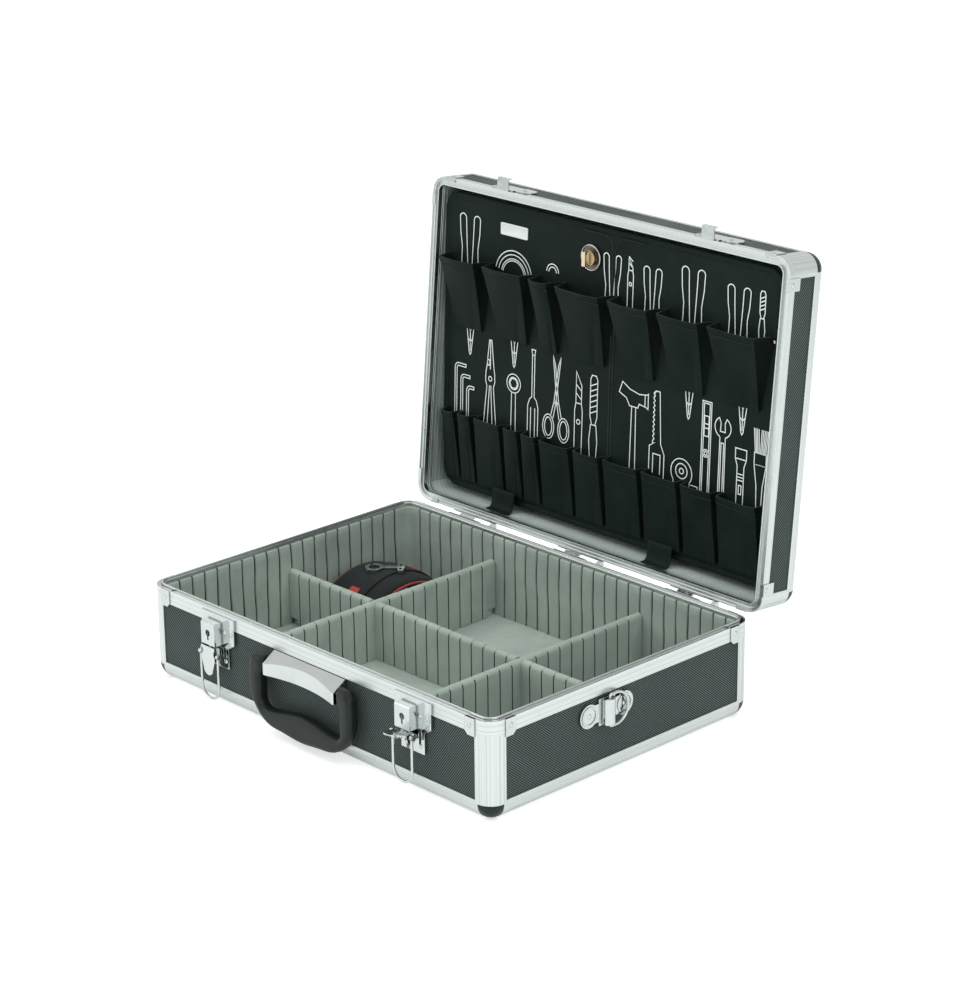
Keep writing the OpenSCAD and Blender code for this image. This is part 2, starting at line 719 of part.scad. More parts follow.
// Chrome bracket: sloping top, concave front and a shallow panel in the front face.
module handle_bracket() color("silver") translate([0, front_y, 0]) difference() {
    rotate([90, 0, 90]) translate([0, 0, -handle_bracket_w / 2])
        linear_extrude(handle_bracket_w) polygon([[0, bracket_low_z],
            [-bracket_front_out, bracket_low_z],
            [-bracket_front_out, bracket_top_z - bracket_fold_drop], [-1, bracket_top_z],
            [0, bracket_top_z]]);
    concave_r = 160;
    translate([0, -bracket_front_out - concave_r + 6.5, bracket_low_z - 1])
        cylinder(r = concave_r, h = bracket_top_z - bracket_low_z + 2, $fn = 120);
    for (s = [-1, 1]) translate([s * handle_bracket_w / 2, -handle_out, handle_pivot_z])
        rotate([0, 90, 0]) cylinder(d = handle_pin_d, h = 2 * boss_len, center = true);
}

// Stub pins that stand out of the bracket's ends.
module handle_pins() color("silver") for (s = [-1, 1])
    translate([s * (handle_bracket_w / 2 + 3), front_y - handle_out, handle_pivot_z])
        rotate([0, 90, 0]) cylinder(d = handle_pin_d, h = 2 * (boss_len + 3), center = true);

// Rounded section of the handle.
module grip_section() {
    r = grip_t / 2 - 1.5;
    square([grip_w - 2 * r, grip_t], center = true);
    square([grip_w, grip_t - 2 * r], center = true);
    for (sx = [-1, 1], sy = [-1, 1])
        translate([sx * (grip_w / 2 - r), sy * (grip_t / 2 - r)]) circle(r = r);
}

// The handle: two arms, two corner bends and the grip between them, all one moulding.
module handle() color("#23282a") translate([0, front_y - handle_out, handle_pivot_z]) {
    arm_x = (handle_w - grip_w) / 2;
    bend_r = handle_corner_r - grip_w / 2;
    bend_x = arm_x - bend_r;
    bend_z = -handle_drop + handle_corner_r;
    difference() {
        union() {
            for (s = [0, 1]) mirror([s, 0, 0]) {
                translate([arm_x, 0, bend_z]) linear_extrude(-bend_z) grip_section();
                translate([bend_x, 0, bend_z]) rotate([90, 0, 0]) rotate([0, 0, -90])
                    rotate_extrude(angle = 90) translate([bend_r, 0]) grip_section();
                translate([arm_x, 0, 0]) rotate([0, 90, 0])
                    cylinder(d = grip_t, h = grip_w - 3, center = true);
            }
            translate([-bend_x, 0, bend_z - bend_r]) rotate([90, 0, 90])
                linear_extrude(2 * bend_x) rotate(90) grip_section();
        }
        for (s = [0, 1]) mirror([s, 0, 0]) translate([arm_x - grip_w / 2, 0, 0])
            rotate([0, 90, 0]) cylinder(d = handle_pin_d + 2 * fit,
                h = 2 * (boss_len + 1.5), center = true);
    }
}

// ---- strap rings ----

ring_plate_t = 1.4;
ring_ear_x = 21.8;
ring_ear_r = 11;

// Carries a piece drawn on a wall facing -Y to the ring's place on a side wall.
module at_ring_plate(s) translate([s * side_x, -ring_y, ring_z]) rotate([0, 0, s * 90]) children();

module ring_rivet_holes() for (u = [-1, 1]) translate([u * ring_ear_x, 0, 0]) rivet_hole(3);

// Plate with two round ears and a half-round housing for the ring's bar.
module ring_plate() difference() {
    union() {
        rotate([90, 0, 0]) linear_extrude(ring_plate_t) {
            for (u = [-1, 1]) translate([u * ring_ear_x, 0]) circle(r = ring_ear_r);
            square([2 * ring_ear_x, 17], center = true);
            square([20, 25], center = true);
        }
        translate([0, -ring_plate_t, 0]) intersection() {
            translate([0, -1.4, 0]) cylinder(r = 6.4, h = 24, center = true);
            block([-10, -8, -12], [10, 0, 12]);
        }
        for (u = [-1, 1]) translate([u * ring_ear_x, -ring_plate_t, 0]) rotate([90, 0, 0])
            difference() {
                cylinder(r = ring_ear_r - 2, h = 0.7);
                translate([0, 0, -1]) cylinder(r = ring_ear_r - 3.6, h = 3);
            }
    }
    translate([0, -ring_out, 0]) cylinder(d = ring_wire + 2 * fit, h = 40, center = true);
    for (u = [-1, 1]) translate([u * ring_ear_x, -ring_plate_t, 0]) rivet_hole(ring_plate_t);
}

module ring_plates() color("silver") for (s = [-1, 1]) at_ring_plate(s) ring_plate();

// The wire ring: straight bar through the housing, bent round into a loop along -X.
module strap_ring(s) color("silver") at_ring_plate(s) mirror([s > 0 ? 1 : 0, 0, 0])
    translate([0, -ring_out, 0]) rotate([90, 0, 0]) {
        half = ring_bar / 2;
        bend = 3;
        loop_r = half;
        rotate([90, 0, 0]) cylinder(d = ring_wire, h = ring_bar - 2 * bend, center = true);
        for (m = [0, 1]) mirror([0, m, 0]) {
            translate([-bend, half - bend, 0]) rotate_extrude(angle = 90)
                translate([bend, 0]) circle(d = ring_wire);
            translate([-bend, half, 0]) rotate([0, -90, 0])
                cylinder(d = ring_wire, h = ring_reach - bend - loop_r);
        }
        translate([loop_r - ring_reach, 0, 0]) rotate([0, 0, 90]) rotate_extrude(angle = 180)
            translate([loop_r, 0]) circle(d = ring_wire);
    }

module strap_ring_left() strap_ring(-1);
module strap_ring_right() strap_ring(1);

// ---- hinges ----

leaf_t = 1.4;
knuckle_offset = -8;
stop_x = 26;
leaf_rivet_x = [-21, -3, 15];
base_leaf_z = base_h - 22;
lid_leaf_z = base_h + 17;
knuckle_gap = 0.3;
mid_knuckle = knuckle_len * 0.44;

module at_hinges() for (i = [-1:1]) translate([i * hinge_pitch, 0, 0]) children();

module base_leaf_holes() for (x = leaf_rivet_x) translate([x, back_y, base_leaf_z])
    mirror([0, 1, 0]) rivet_hole(skin_t + 3);

// A barrel along X between two places, bored for the pin.
module barrel(from, to) translate([knuckle_offset + from, axis_y, axis_z]) rotate([0, 90, 0])
    difference() {
        cylinder(r = knuckle_r, h = to - from);
        translate([0, 0, -1]) cylinder(d = hinge_pin_d + 2 * fit, h = to - from + 2);
    }

// Web from a leaf to its barrel, drawn as (y, z) and run along X.
module barrel_web(from, to, points) difference() {
    translate([knuckle_offset + from, 0, 0]) rotate([90, 0, 90]) linear_extrude(to - from)
        polygon(points);
    translate([0, axis_y, axis_z]) rotate([0, 90, 0])
        cylinder(d = hinge_pin_d + 2 * fit, h = case_w, center = true);
}

// Base leaf with two outer barrels and the stop lug beside them.
module hinge_base_leaf() {
    half = knuckle_len / 2;
    difference() {
        block([knuckle_offset - half, back_y, base_leaf_z - 9],
            [stop_x + 6, back_y + leaf_t, axis_z - 1]);
        for (x = leaf_rivet_x) translate([x, back_y + leaf_t, base_leaf_z])
            mirror([0, 1, 0]) rivet_hole(leaf_t + 1);
    }
    for (e = [[-half, -mid_knuckle / 2 - knuckle_gap], [mid_knuckle / 2 + knuckle_gap, half]]) {
        barrel(e[0], e[1]);
        barrel_web(e[0], e[1], [[back_y, axis_z - 3.4], [axis_y - 0.5, axis_z - 2.8],
            [axis_y - 1.4, axis_z - 0.2], [back_y + leaf_t, axis_z - 1], [back_y, axis_z - 1]]);
    }
    translate([stop_x, 0, 0]) rotate([90, 0, 90]) linear_extrude(5) polygon([
        [back_y, axis_z - 8], [back_y + leaf_t, axis_z - 8], [back_y + 12.5, axis_z - 1],
        [back_y + 12.5, axis_z + 4], [back_y + 9.5, axis_z + 4],
        [back_y + leaf_t, axis_z - 1], [back_y, axis_z - 1]]);
}

module hinge_base_leaves() color("silver") at_hinges() hinge_base_leaf();

module hinge_pins() color("silver") at_hinges()
    translate([knuckle_offset, axis_y, axis_z]) rotate([0, 90, 0])
        cylinder(d = hinge_pin_d, h = knuckle_len, center = true);

// Lid leaf with the middle barrel, drawn with the lid shut.
module hinge_lid_leaf() {
    half = knuckle_len / 2;
    low = base_h + seam_gap + 0.5;
    difference() {
        block([knuckle_offset - half, back_y, low], [stop_x - 2, back_y + leaf_t, lid_leaf_z + 8]);
        for (x = leaf_rivet_x) translate([x, back_y + leaf_t, lid_leaf_z])
            mirror([0, 1, 0]) rivet_hole(leaf_t + 1);
    }
    barrel(-mid_knuckle / 2, mid_knuckle / 2);
    barrel_web(-mid_knuckle / 2, mid_knuckle / 2, [[back_y, low], [back_y + leaf_t, low + 1],
        [axis_y + 1.2, axis_z + 2.4], [axis_y - 2.2, axis_z + 1.6], [back_y, low]]);
}

module hinge_lid_leaves() color("silver") open_lid() at_hinges() hinge_lid_leaf();

// ---- lid shell, drawn shut ----

lid_panel_low = base_h + 4.6;
lid_panel_high = case_top - corner_r;

module lid_rim() color("gainsboro") open_lid() difference() {
    translate([0, 0, base_h]) frame_ring() lid_rim_section();
    at_case_corners() translate([0, 0, base_h + seam_gap]) lid_bracket_cuts();
    for (s = [-1, 1]) translate([s * latch_x, front_y, 0]) keeper_rivet_holes(skin_t + 2);
}

lid_flap_h = 14;
lid_bracket_rivet_z = 4;

module lid_bracket_cuts() for (m = [0, 1]) mirror([m, -m, 0]) {
    block([bracket_from, -1, -1], [bracket_to, skin_t, channel_d]);
    translate([(bracket_from + bracket_to) / 2, 0, lid_bracket_rivet_z]) rivet_hole(skin_t + 1);
}

// A pressed corner bracket for the lid's rim, the seam at z = 0 and the lid above.
module lid_bracket() difference() {
    union() {
        for (m = [0, 1]) mirror([m, -m, 0]) {
            block([corner_r, skin_t, 0.2], [bracket_to, lip_in - lip_clear_out - 0.4, channel_d]);
            block([bracket_from, -flap_t, 0.2], [bracket_to, skin_t, channel_d]);
            block([bracket_from, -flap_t, 0.2], [bracket_to, 0, lid_flap_h]);
        }
        translate([corner_r, corner_r, 0.2]) rotate([0, 0, 180])
            rotate_extrude(angle = 90) translate([corner_r - lip_in + lip_clear_out + 0.4, 0])
                square([lip_in - lip_clear_out - 0.4 - skin_t, channel_d - 0.2]);
    }
    for (m = [0, 1]) mirror([m, -m, 0])
        translate([(bracket_from + bracket_to) / 2, -flap_t, lid_bracket_rivet_z])
            rivet_hole(flap_t);
}

module lid_brackets() color("silver") open_lid() at_case_corners()
    translate([0, 0, base_h + seam_gap]) lid_bracket();

module lid_panel_front() color("#343838") open_lid() difference() {
    on_front() wall_panel(run_x, lid_panel_low, lid_panel_high);
    for (s = [-1, 1]) translate([s * latch_x, front_y, 0]) keeper_rivet_holes(3.4);
}

module lid_panel_back() color("#343838") open_lid() difference() {
    on_back() wall_panel(run_x, lid_panel_low, lid_panel_high);
    at_hinges() for (x = leaf_rivet_x) translate([x, back_y, lid_leaf_z])
        mirror([0, 1, 0]) rivet_hole(skin_t + 3);
}

module lid_panel_left() color("#343838") open_lid() on_left()
    wall_panel(run_y, lid_panel_low, lid_panel_high);
module lid_panel_right() color("#343838") open_lid() on_right()
    wall_panel(run_y, lid_panel_low, lid_panel_high);
module lid_panel_top() color("#343838") open_lid()
    block([-run_x / 2, -run_y / 2, case_top - panel_in], [run_x / 2, run_y / 2,
        case_top - skin_t]);

// The lid's posts stand on its rim and leave room for the rim's inner flange.
module lid_posts() color("gainsboro") open_lid() at_case_corners() difference() {
    post(base_h + lid_rim_h, lid_panel_high);
    block([panel_in, panel_in, base_h],
        [edge_flange + 1, edge_flange + 1, base_h + lid_rim_h + lid_flange_up]);
}

// Places a piece drawn for the case's foot upside down at the lid's top.
module at_top() translate([0, 0, case_top]) mirror([0, 0, 1]) children();

module lid_edge_rails() color("gainsboro") open_lid() at_top() edge_frame();

module lid_ball_corners() color("#1d2020") open_lid() at_top() at_case_corners() ball_corner();

// ---- lid lining ----

lid_lining_low = base_h + lid_rim_h + lid_flange_up + touch;
lid_lining_high = case_top - inner_in - 2 - touch;

module lid_lining_plan(long) intersection() {
    difference() {
        outline(inner_in);
        outline(lid_lining_in);
    }
    wall_share(long);
}

module lid_lining_long() color("#a3aaa5") open_lid() translate([0, 0, lid_lining_low])
    linear_extrude(lid_lining_high - lid_lining_low) lid_lining_plan(true);
module lid_lining_short() color("#a3aaa5") open_lid() translate([0, 0, lid_lining_low])
    linear_extrude(lid_lining_high - lid_lining_low) lid_lining_plan(false);
module lid_lining_top() color("#a3aaa5") open_lid()
    translate([0, 0, case_top - inner_in - 2]) linear_extrude(2) outline(inner_in);

// ---- keepers, drawn with the lid shut and the latch's middle at x = 0 ----

keeper_low = base_h + seam_gap + 0.9;
keeper_rivets = [[-15, keeper_low + 4.2], [17, keeper_low + 11.5]];
hook_half = 7.5;
hook_seat_z = latch_pivot_z + bail_dz + bail_reach - bail_wire / 2;

module keeper_rivet_holes(depth) for (p = keeper_rivets)
    translate([p[0], 0, p[1]]) rivet_hole(depth);

// Plate with a small ear, a large oval ear and the bent hook for the bail.
module keeper() difference() {
    union() {
        rotate([90, 0, 0]) linear_extrude(plate_t) {
            rect([-hook_half - 3, keeper_low], [hook_half + 4, keeper_low + 19]);
            translate([-15, keeper_low + 4.2]) circle(r = 4.2);
            rect([-15, keeper_low], [0, keeper_low + 8.4]);
            translate([14, keeper_low + 11.5]) circle(r = 9.5);
            translate([20, keeper_low + 11.5]) circle(r = 9.5);
        }
        translate([-hook_half, 0, 0]) rotate([90, 0, 90]) linear_extrude(2 * hook_half)
            hook_section();
    }
    for (p = keeper_rivets) translate([p[0], -plate_t, p[1]]) rivet_hole(plate_t + 1);
}

// Section of the hook as (y, z): out from the plate, then up behind the bail's wire.
module hook_section() {
    out = latch_pivot_out - bail_dy;
    wire_gap = bail_wire / 2 + 0.4;
    low = hook_seat_z - bail_wire / 2 - 0.3;
    rect([-out - wire_gap - 1.5, low - 1.6], [0, low]);
    rect([-out - wire_gap - 1.5, low - 1.6], [-out - wire_gap, low + 3.4]);
    rect([-plate_t, low - 1.6], [0, keeper_low + 1]);
}

module keepers() color("silver") open_lid() for (s = [-1, 1])
    translate([s * latch_x, front_y, 0]) keeper();

module lid_rivets() color("silver") open_lid() {
    at_case_corners() translate([0, 0, base_h + seam_gap]) for (m = [0, 1]) mirror([m, -m, 0])
        translate([(bracket_from + bracket_to) / 2, -flap_t, lid_bracket_rivet_z])
            rivet(flap_t + skin_t);
    for (s = [-1, 1]) translate([s * latch_x, front_y - plate_t, 0]) for (p = keeper_rivets)
        translate([p[0], 0, p[1]]) rivet(plate_t + skin_t + 1.8);
    at_hinges() for (x = leaf_rivet_x) translate([x, back_y + leaf_t, lid_leaf_z])
        mirror([0, 1, 0]) rivet(leaf_t + skin_t + 2);
}

// ---- pallet: foot of its face at the origin, upright, its face toward -Y ----

// Carries a piece of the pallet to its place in the open lid.
module at_pallet() translate([0, pallet_foot_y, pallet_foot_z]) rotate([-pallet_lean, 0, 0])
    children();

module pallet_board() color("#26292a") at_pallet() difference() {
    translate([0, board_t, pallet_h / 2]) rotate([90, 0, 0]) linear_extrude(board_t)
        offset_free_rect(pallet_w, pallet_h, pallet_corner_r);
    translate([lock_x, -1, lock_up]) rotate([-90, 0, 0])
        cylinder(d = spindle_d + 2 * fit, h = board_t + 2);
}

function sum_to(v, n) = n == 0 ? 0 : v[n - 1] + sum_to(v, n - 1);

// One pocket: a sheet that leans out to its mouth, closed by two side gussets.
module pocket(w, foot_w, low, high, mouth, foot_out) {
    intersection() {
        rotate([90, 0, 90]) translate([0, 0, -w / 2]) linear_extrude(w) polygon([
            [-foot_out, low], [-foot_out - vinyl_t, low], [-mouth - vinyl_t, high],
            [-mouth, high]]);
        rotate([90, 0, 0]) linear_extrude(mouth + 5) polygon([[-foot_w / 2, low],
            [foot_w / 2, low], [w / 2, high], [-w / 2, high]]);
    }
    for (s = [-1, 1]) intersection() {
        rotate([90, 0, 90]) translate([0, 0, -w / 2]) linear_extrude(w)
            polygon([[-touch, low], [-foot_out, low], [-mouth, high], [-touch, high]]);
        rotate([90, 0, 0]) linear_extrude(mouth + 5) polygon([[s * foot_w / 2, low],
            [s * (foot_w / 2 - vinyl_t), low], [s * (w / 2 - vinyl_t), high],
            [s * w / 2, high]]);
    }
}

// A row of pockets of the given widths, fitted evenly into the pallet's width.
module pocket_row(widths, taper, low, high, mouth, foot_out) {
    room = pallet_w - 2 * pocket_inset;
    share = room / sum_to(widths, len(widths));
    for (i = [0:len(widths) - 1]) {
        w = widths[i] * share - touch;
        translate([-room / 2 + share * (sum_to(widths, i) + widths[i] / 2), 0, 0])
            pocket(w, w * taper, low, high, mouth, foot_out);
    }
}

module pallet_pockets_upper() color("#2b2f30") at_pallet()
    pocket_row(upper_pockets, 0.6, upper_foot, upper_top, upper_mouth, 3);
module pallet_pockets_lower() color("#2b2f30") at_pallet()
    pocket_row(lower_pockets, 0.9, lower_foot, lower_top, lower_mouth, 5);

tab_places = [-123, 88];
tab_w = 30;
tab_t = 1.6;

// Where a point of the pallet (y, z) lies in the open lid.
function placed(y, z) = [pallet_foot_y + y * cos(pallet_lean) + z * sin(pallet_lean),
    pallet_foot_z - y * sin(pallet_lean) + z * cos(pallet_lean)];

// Where a point of the open lid (y, z) lies when the lid is shut.
function shut(p) = [
    axis_y + (p[0] - axis_y) * cos(open_angle) - (p[1] - axis_z) * sin(open_angle),
    axis_z + (p[0] - axis_y) * sin(open_angle) + (p[1] - axis_z) * cos(open_angle)];

tab_hold = 24;                                 // reach of a tab up the pallet's back
tab_seat = back_y - lid_lining_in - tab_t;     // top of the lid's half of a tab, lid shut
tab_foot = (shut(placed(board_t, 0))[0] - tab_seat + touch)
    / cos(open_angle - 90 - pallet_lean);

// Vinyl tabs that hinge the pallet: the pallet's half lies behind its foot.
module pallet_tabs() color("#26292a") at_pallet() for (x = tab_places)
    block([x - tab_w / 2, board_t, tab_foot], [x + tab_w / 2, board_t + tab_t, tab_hold]);

// The lid's half of each tab lies on the lining of the lid's hinge wall.
module pallet_tabs_lid() color("#26292a") open_lid() for (x = tab_places)
    block([x - tab_w / 2, tab_seat, lid_lining_low + 1],
        [x + tab_w / 2, tab_seat + tab_t, base_h + pallet_depth + tab_hold / 2]);

// ---- turn lock ----

spindle_d = 5;
rose_t = 1.6;
rose_step_t = 1;
cam_gap = 3;                                   // from the board's back to the cam
cam_t = 2;
cam_reach = 14;
lip_gap = 0.8;                                 // from the board's back to the catch's lip
lip_sheet = 1.2;

module turn_lock_rose() color("goldenrod") at_pallet() translate([lock_x, 0, lock_up])
    rotate([90, 0, 0]) difference() {
        union() {
            cylinder(d = rose_d, h = rose_t);
            cylinder(d = rose_d - 8, h = rose_t + rose_step_t);
        }
        translate([0, 0, -1]) cylinder(d = spindle_d + 2 * fit, h = rose_t + 4);
    }

// Knob, spindle and the cam behind the board that turns up behind the catch's lip.
module turn_lock_knob() color("goldenrod") at_pallet() translate([lock_x, 0, lock_up]) {
    back = board_t + cam_gap;
    front = rose_t + rose_step_t + touch;
    rotate([90, 0, 0]) translate([0, 0, -back]) cylinder(d = spindle_d, h = back + front);
    rotate([90, 0, 0]) translate([0, 0, front]) {
        cylinder(d = 15, h = 2.2);
        translate([0, 0, 4.6]) cube([4.4, 14, 9.2], center = true);
    }
    block([-5, back, -5], [cam_reach, back + cam_t, 5]);
}

// Catch on the lid's inner top: an angle whose lip hangs between the board and the cam.
module pallet_catch() color("silver") open_lid() {
    foot_z = case_top - inner_in - 2;
    tip = shut(placed(board_t + lip_gap, lock_up + 9));
    post_y = shut(placed(board_t + lip_gap, lock_up + cam_reach + 4))[0];
    block([lock_x - 11, post_y - lip_sheet, tip[1]], [lock_x + 11, post_y, foot_z]);
    block([lock_x - 11, post_y - lip_sheet, foot_z - lip_sheet],
        [lock_x + 11, post_y + 12, foot_z]);
    block([lock_x - 11, post_y - lip_sheet, tip[1]], [lock_x + 11, tip[0], tip[1] + lip_sheet]);
}

// ---- shoulder strap ----

pad_t = 12;
pad_side_gap = 12;                             // pad to the side wall's lining
pad_front_gap = 7.3;                           // pad to the long divider
pad_back_gap = 11;                             // pad to the back wall's lining
pad_x = -inner_x + pad_side_gap + pad_w / 2;
pad_from = divider_t / 2 + pad_front_gap;
pad_to = inner_y - pad_back_gap;
pad_y = (pad_from + pad_to) / 2;
pad_half = (pad_to - pad_from) / 2;            // half the arch's span at its feet
pad_top = 56;
pad_foot = floor_top + touch;
pad_rise = pad_top - pad_foot;
pad_arch_r = (pad_half * pad_half + pad_rise * pad_rise) / (2 * pad_rise);

// The folded pad: a padded band arched over from end to end of its compartment.
module shoulder_pad() color("#1c1f20") translate([pad_x - pad_w / 2, pad_y, 0])
    rotate([90, 0, 90]) linear_extrude(pad_w) intersection() {
        translate([0, pad_top - pad_arch_r]) difference() {
            circle(r = pad_arch_r, $fn = 96);
            circle(r = pad_arch_r - pad_t, $fn = 96);
        }
        rect([-pad_arch_r, pad_foot], [pad_arch_r, pad_top + 1]);
    }

// Snap hook at the strap's end, lying on the crown of the pad.
module strap_hook() color("silver") translate([pad_x - 6, pad_y - 8, pad_top + touch])
    rotate([0, 0, 45]) {
        linear_extrude(3.6) difference() {
            union() {
                circle(r = 9);
                translate([0, -3]) square([30, 6]);
            }
            circle(r = 5.6);
            translate([-4, 2]) square([3, 12]);
        }
        translate([26, 0, 0]) linear_extrude(3.6) difference() {
            square([6, 20], center = true);
            square([2.6, 14], center = true);
        }
    }

// ---- one line for every node ----

base_rim();
base_panel_front();
base_panel_back();
base_panel_left();
base_panel_right();
base_panel_bottom();
base_posts();
base_edge_rails();
base_ball_corners();
base_brackets();
base_rivets();
base_lining_long();
base_lining_short();
base_lining_floor();
latch_plates();
handle_bracket();
handle_pins();
ring_plates();
hinge_base_leaves();
hinge_pins();
lid_rim();
lid_panel_front();
lid_panel_back();
lid_panel_left();
lid_panel_right();
lid_panel_top();
lid_posts();
lid_edge_rails();
lid_ball_corners();
lid_brackets();
lid_rivets();
lid_lining_long();
lid_lining_short();
lid_lining_top();
keepers();
hinge_lid_leaves();
pallet_catch();
pallet_tabs_lid();
pallet_board();
pallet_pockets_upper();
pallet_pockets_lower();
pallet_tabs();
turn_lock_rose();
turn_lock_knob();
latch_lever_left();
latch_lever_right();
bail_studs_left();
bail_studs_right();
latch_bail_left();
latch_bail_right();
handle();
strap_ring_left();
strap_ring_right();
divider_long();
divider_cross_left();
divider_cross_right();
shoulder_pad();
strap_hook();
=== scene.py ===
"""Looks of the hard tool case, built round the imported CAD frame.
"""
from math import copysign, cos, exp, pi, radians, sin, sqrt

import bmesh
import bpy
from mathutils import Matrix, Vector, noise


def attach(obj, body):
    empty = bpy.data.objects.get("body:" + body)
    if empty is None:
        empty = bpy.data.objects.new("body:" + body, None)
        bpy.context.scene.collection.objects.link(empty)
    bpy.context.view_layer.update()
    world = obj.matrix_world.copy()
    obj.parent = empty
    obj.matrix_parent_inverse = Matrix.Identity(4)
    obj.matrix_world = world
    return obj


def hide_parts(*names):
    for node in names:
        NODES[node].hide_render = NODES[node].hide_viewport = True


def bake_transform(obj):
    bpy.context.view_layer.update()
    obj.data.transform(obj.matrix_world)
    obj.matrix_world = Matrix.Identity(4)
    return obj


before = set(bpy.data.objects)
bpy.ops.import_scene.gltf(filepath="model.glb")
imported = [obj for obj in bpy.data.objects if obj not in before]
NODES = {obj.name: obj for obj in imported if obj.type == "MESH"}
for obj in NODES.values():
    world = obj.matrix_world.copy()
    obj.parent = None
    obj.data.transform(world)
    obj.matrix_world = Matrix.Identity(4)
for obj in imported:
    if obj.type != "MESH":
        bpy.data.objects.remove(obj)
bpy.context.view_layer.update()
MM = 0.001

# ---- the case's own sizes, as in the CAD ----
SIDE_X, BACK_Y, CORNER_R = 230.0, 165.0, 16.0
INNER_IN, LINING_IN, LID_LINING_IN = 6.4, 9.8, 8.8
FLOOR_LOW, FLOOR_TOP, LINING_TOP = 6.4, 8.4, 90.7
LID_LINING_LOW, LID_LINING_TOP, LID_SHEET_BACK, LID_SHEET_FACE = 106.3, 139.4, 141.5, 139.6
AXIS_Y, AXIS_Z, OPEN_ANGLE = 170.0, 89.0, 95.2
PITCH = 15.2
DIVIDER_T, DIVIDER_TOP, DIVIDER_FOOT, CROSS_X = 9.0, 66.0, 8.7, 98.8
PALLET_W, PALLET_H, PALLET_R, LEAN = 438.4, 302.4, 20.0, 1.9
FOOT_Y, FOOT_Z = 201.7, 106.0
UPPER = [54, 58, 32, 62, 56, 56, 62]
LOWER = [22, 22, 40, 24, 24, 44, 38, 48, 48, 42, 52]
UPPER_LOW, UPPER_HIGH, UPPER_MOUTH = PALLET_H - 134, PALLET_H - 62, 19.0
LOWER_LOW, LOWER_HIGH, LOWER_MOUTH = 12.0, 82.0, 12.4
LOCK_X, LOCK_Z, LOCK_R = -18.0, PALLET_H - 32.0, 12.1
LABEL_X, LABEL_Z, LABEL_W, LABEL_H, LABEL_R = -122.0, 277.0, 37.0, 12.0, 1.4
TAB_X, TAB_HALF = (-123.0, 88.0), 15.0
HANDLE_PIVOT, HANDLE_Y = 70.0, -174.5
PAD_X, PAD_Y, PAD_W, PAD_TOP, PAD_R, PAD_T = -172.2, 78.0, 72.0, 56.0, 70.0, 12.0
PAD_SPAN = 70.5

UP, OUT = (0, 0, 1), (0, -1, 0)
LID = (Matrix.Translation((0, AXIS_Y, AXIS_Z)) @ Matrix.Rotation(radians(-OPEN_ANGLE), 4, "X")
       @ Matrix.Translation((0, -AXIS_Y, -AXIS_Z)))
PALLET = Matrix.Translation((0, FOOT_Y, FOOT_Z)) @ Matrix.Rotation(radians(-LEAN), 4, "X")
HERE = Matrix.Identity(4)


# ---- material nodes ----

class Tree:
    """The node tree of a material or a world, with short calls for the nodes it uses."""

    def __init__(self, owner):
        owner.use_nodes = True
        self.owner, self.tree = owner, owner.node_tree
        self.shader = self.tree.nodes.get("Principled BSDF")

    def add(self, kind, props=None, **sockets):
        """A node; its sockets go by name, with _ for a space, or by number as i0, i1 and so on."""
        node = self.tree.nodes.new("ShaderNode" + kind)
        for key, value in (props or {}).items():
            setattr(node, key, value)
        for key, value in sockets.items():
            self.put(node, key.replace("_", " "), value)
        return node

    def put(self, node, key, value):
        numbered = key[0] == "i" and key[1:].isdigit()
        socket = node.inputs[int(key[1:]) if numbered else key]
        if isinstance(value, bpy.types.NodeSocket):
            self.tree.links.new(value, socket)
        else:
            socket.default_value = value

    def math(self, op, a, b=0.0, c=0.0):
        return self.add("Math", {"operation": op}, i0=a, i1=b, i2=c).outputs[0]

    def coords(self):
        return self.add("TexCoord").outputs["Object"]

    def along(self, direction):
        """Distance in metres along a direction of the shared frame."""
        return self.add("VectorMath", {"operation": "DOT_PRODUCT"}, i0=self.coords(),
                        i1=direction).outputs["Value"]

    def waves(self, direction, pitch):
        """A sine of -1 to 1 that repeats every pitch metres along a direction."""
        return self.math("SINE", self.math("MULTIPLY", self.along(direction), 2 * pi / pitch))

    def noise(self, scale, detail, rough=0.5, place=None):
        """Noise in space, or along a single distance where place gives one."""
        flat = place is not None
        at = {"W": place} if flat else {"Vector": self.coords()}
        return self.add("TexNoise", {"noise_dimensions": "1D" if flat else "3D"}, Scale=scale,
                        Detail=detail, Roughness=rough, **at).outputs["Fac"]

    def ramp(self, fac, *stops):
        node = self.add("ValToRGB", Fac=fac)
        bar = node.color_ramp
        while len(bar.elements) < len(stops):
            bar.elements.new(0.5)
        for element, (place, colour) in zip(bar.elements, stops):
            element.position = place
            element.color = (*colour, 1)
        return node.outputs["Color"]

    def mix(self, fac, a, b):
        node = self.add("Mix", {"data_type": "RGBA", "blend_type": "MIX"}, i0=fac)
        for key, value in (("i6", a), ("i7", b)):
            if not isinstance(value, bpy.types.NodeSocket):
                value = (*value, 1)
            self.put(node, key, value)
        return node.outputs[2]

    def band(self, value, low, high, a=0.0, b=1.0):
        """Goes smoothly from a to b as the value goes from low to high."""
        return self.add("MapRange", {"interpolation_type": "SMOOTHSTEP"}, Value=value, i1=low,
                        i2=high, i3=a, i4=b).outputs["Result"]

    def bump(self, height, strength, distance, under=None):
        node = self.add("Bump", Height=height, Strength=strength, Distance=distance)
        if under is not None:
            self.put(node, "Normal", under)
        return node.outputs["Normal"]

    def rounded(self, radius):
        """The surface's normal with sharp edges rounded over a radius in millimetres."""
        return self.add("Bevel", {"samples": 4}, Radius=radius * MM).outputs["Normal"]

    def finish(self, **sockets):
        for key, value in sockets.items():
            if isinstance(value, tuple):
                value = (*value, 1)
            self.put(self.shader, key.replace("_", " "), value)
        return self.owner


def material(name):
    return Tree(bpy.data.materials.new(name))


def dim(colour, k):
    return tuple(min(1, c * k) for c in colour)


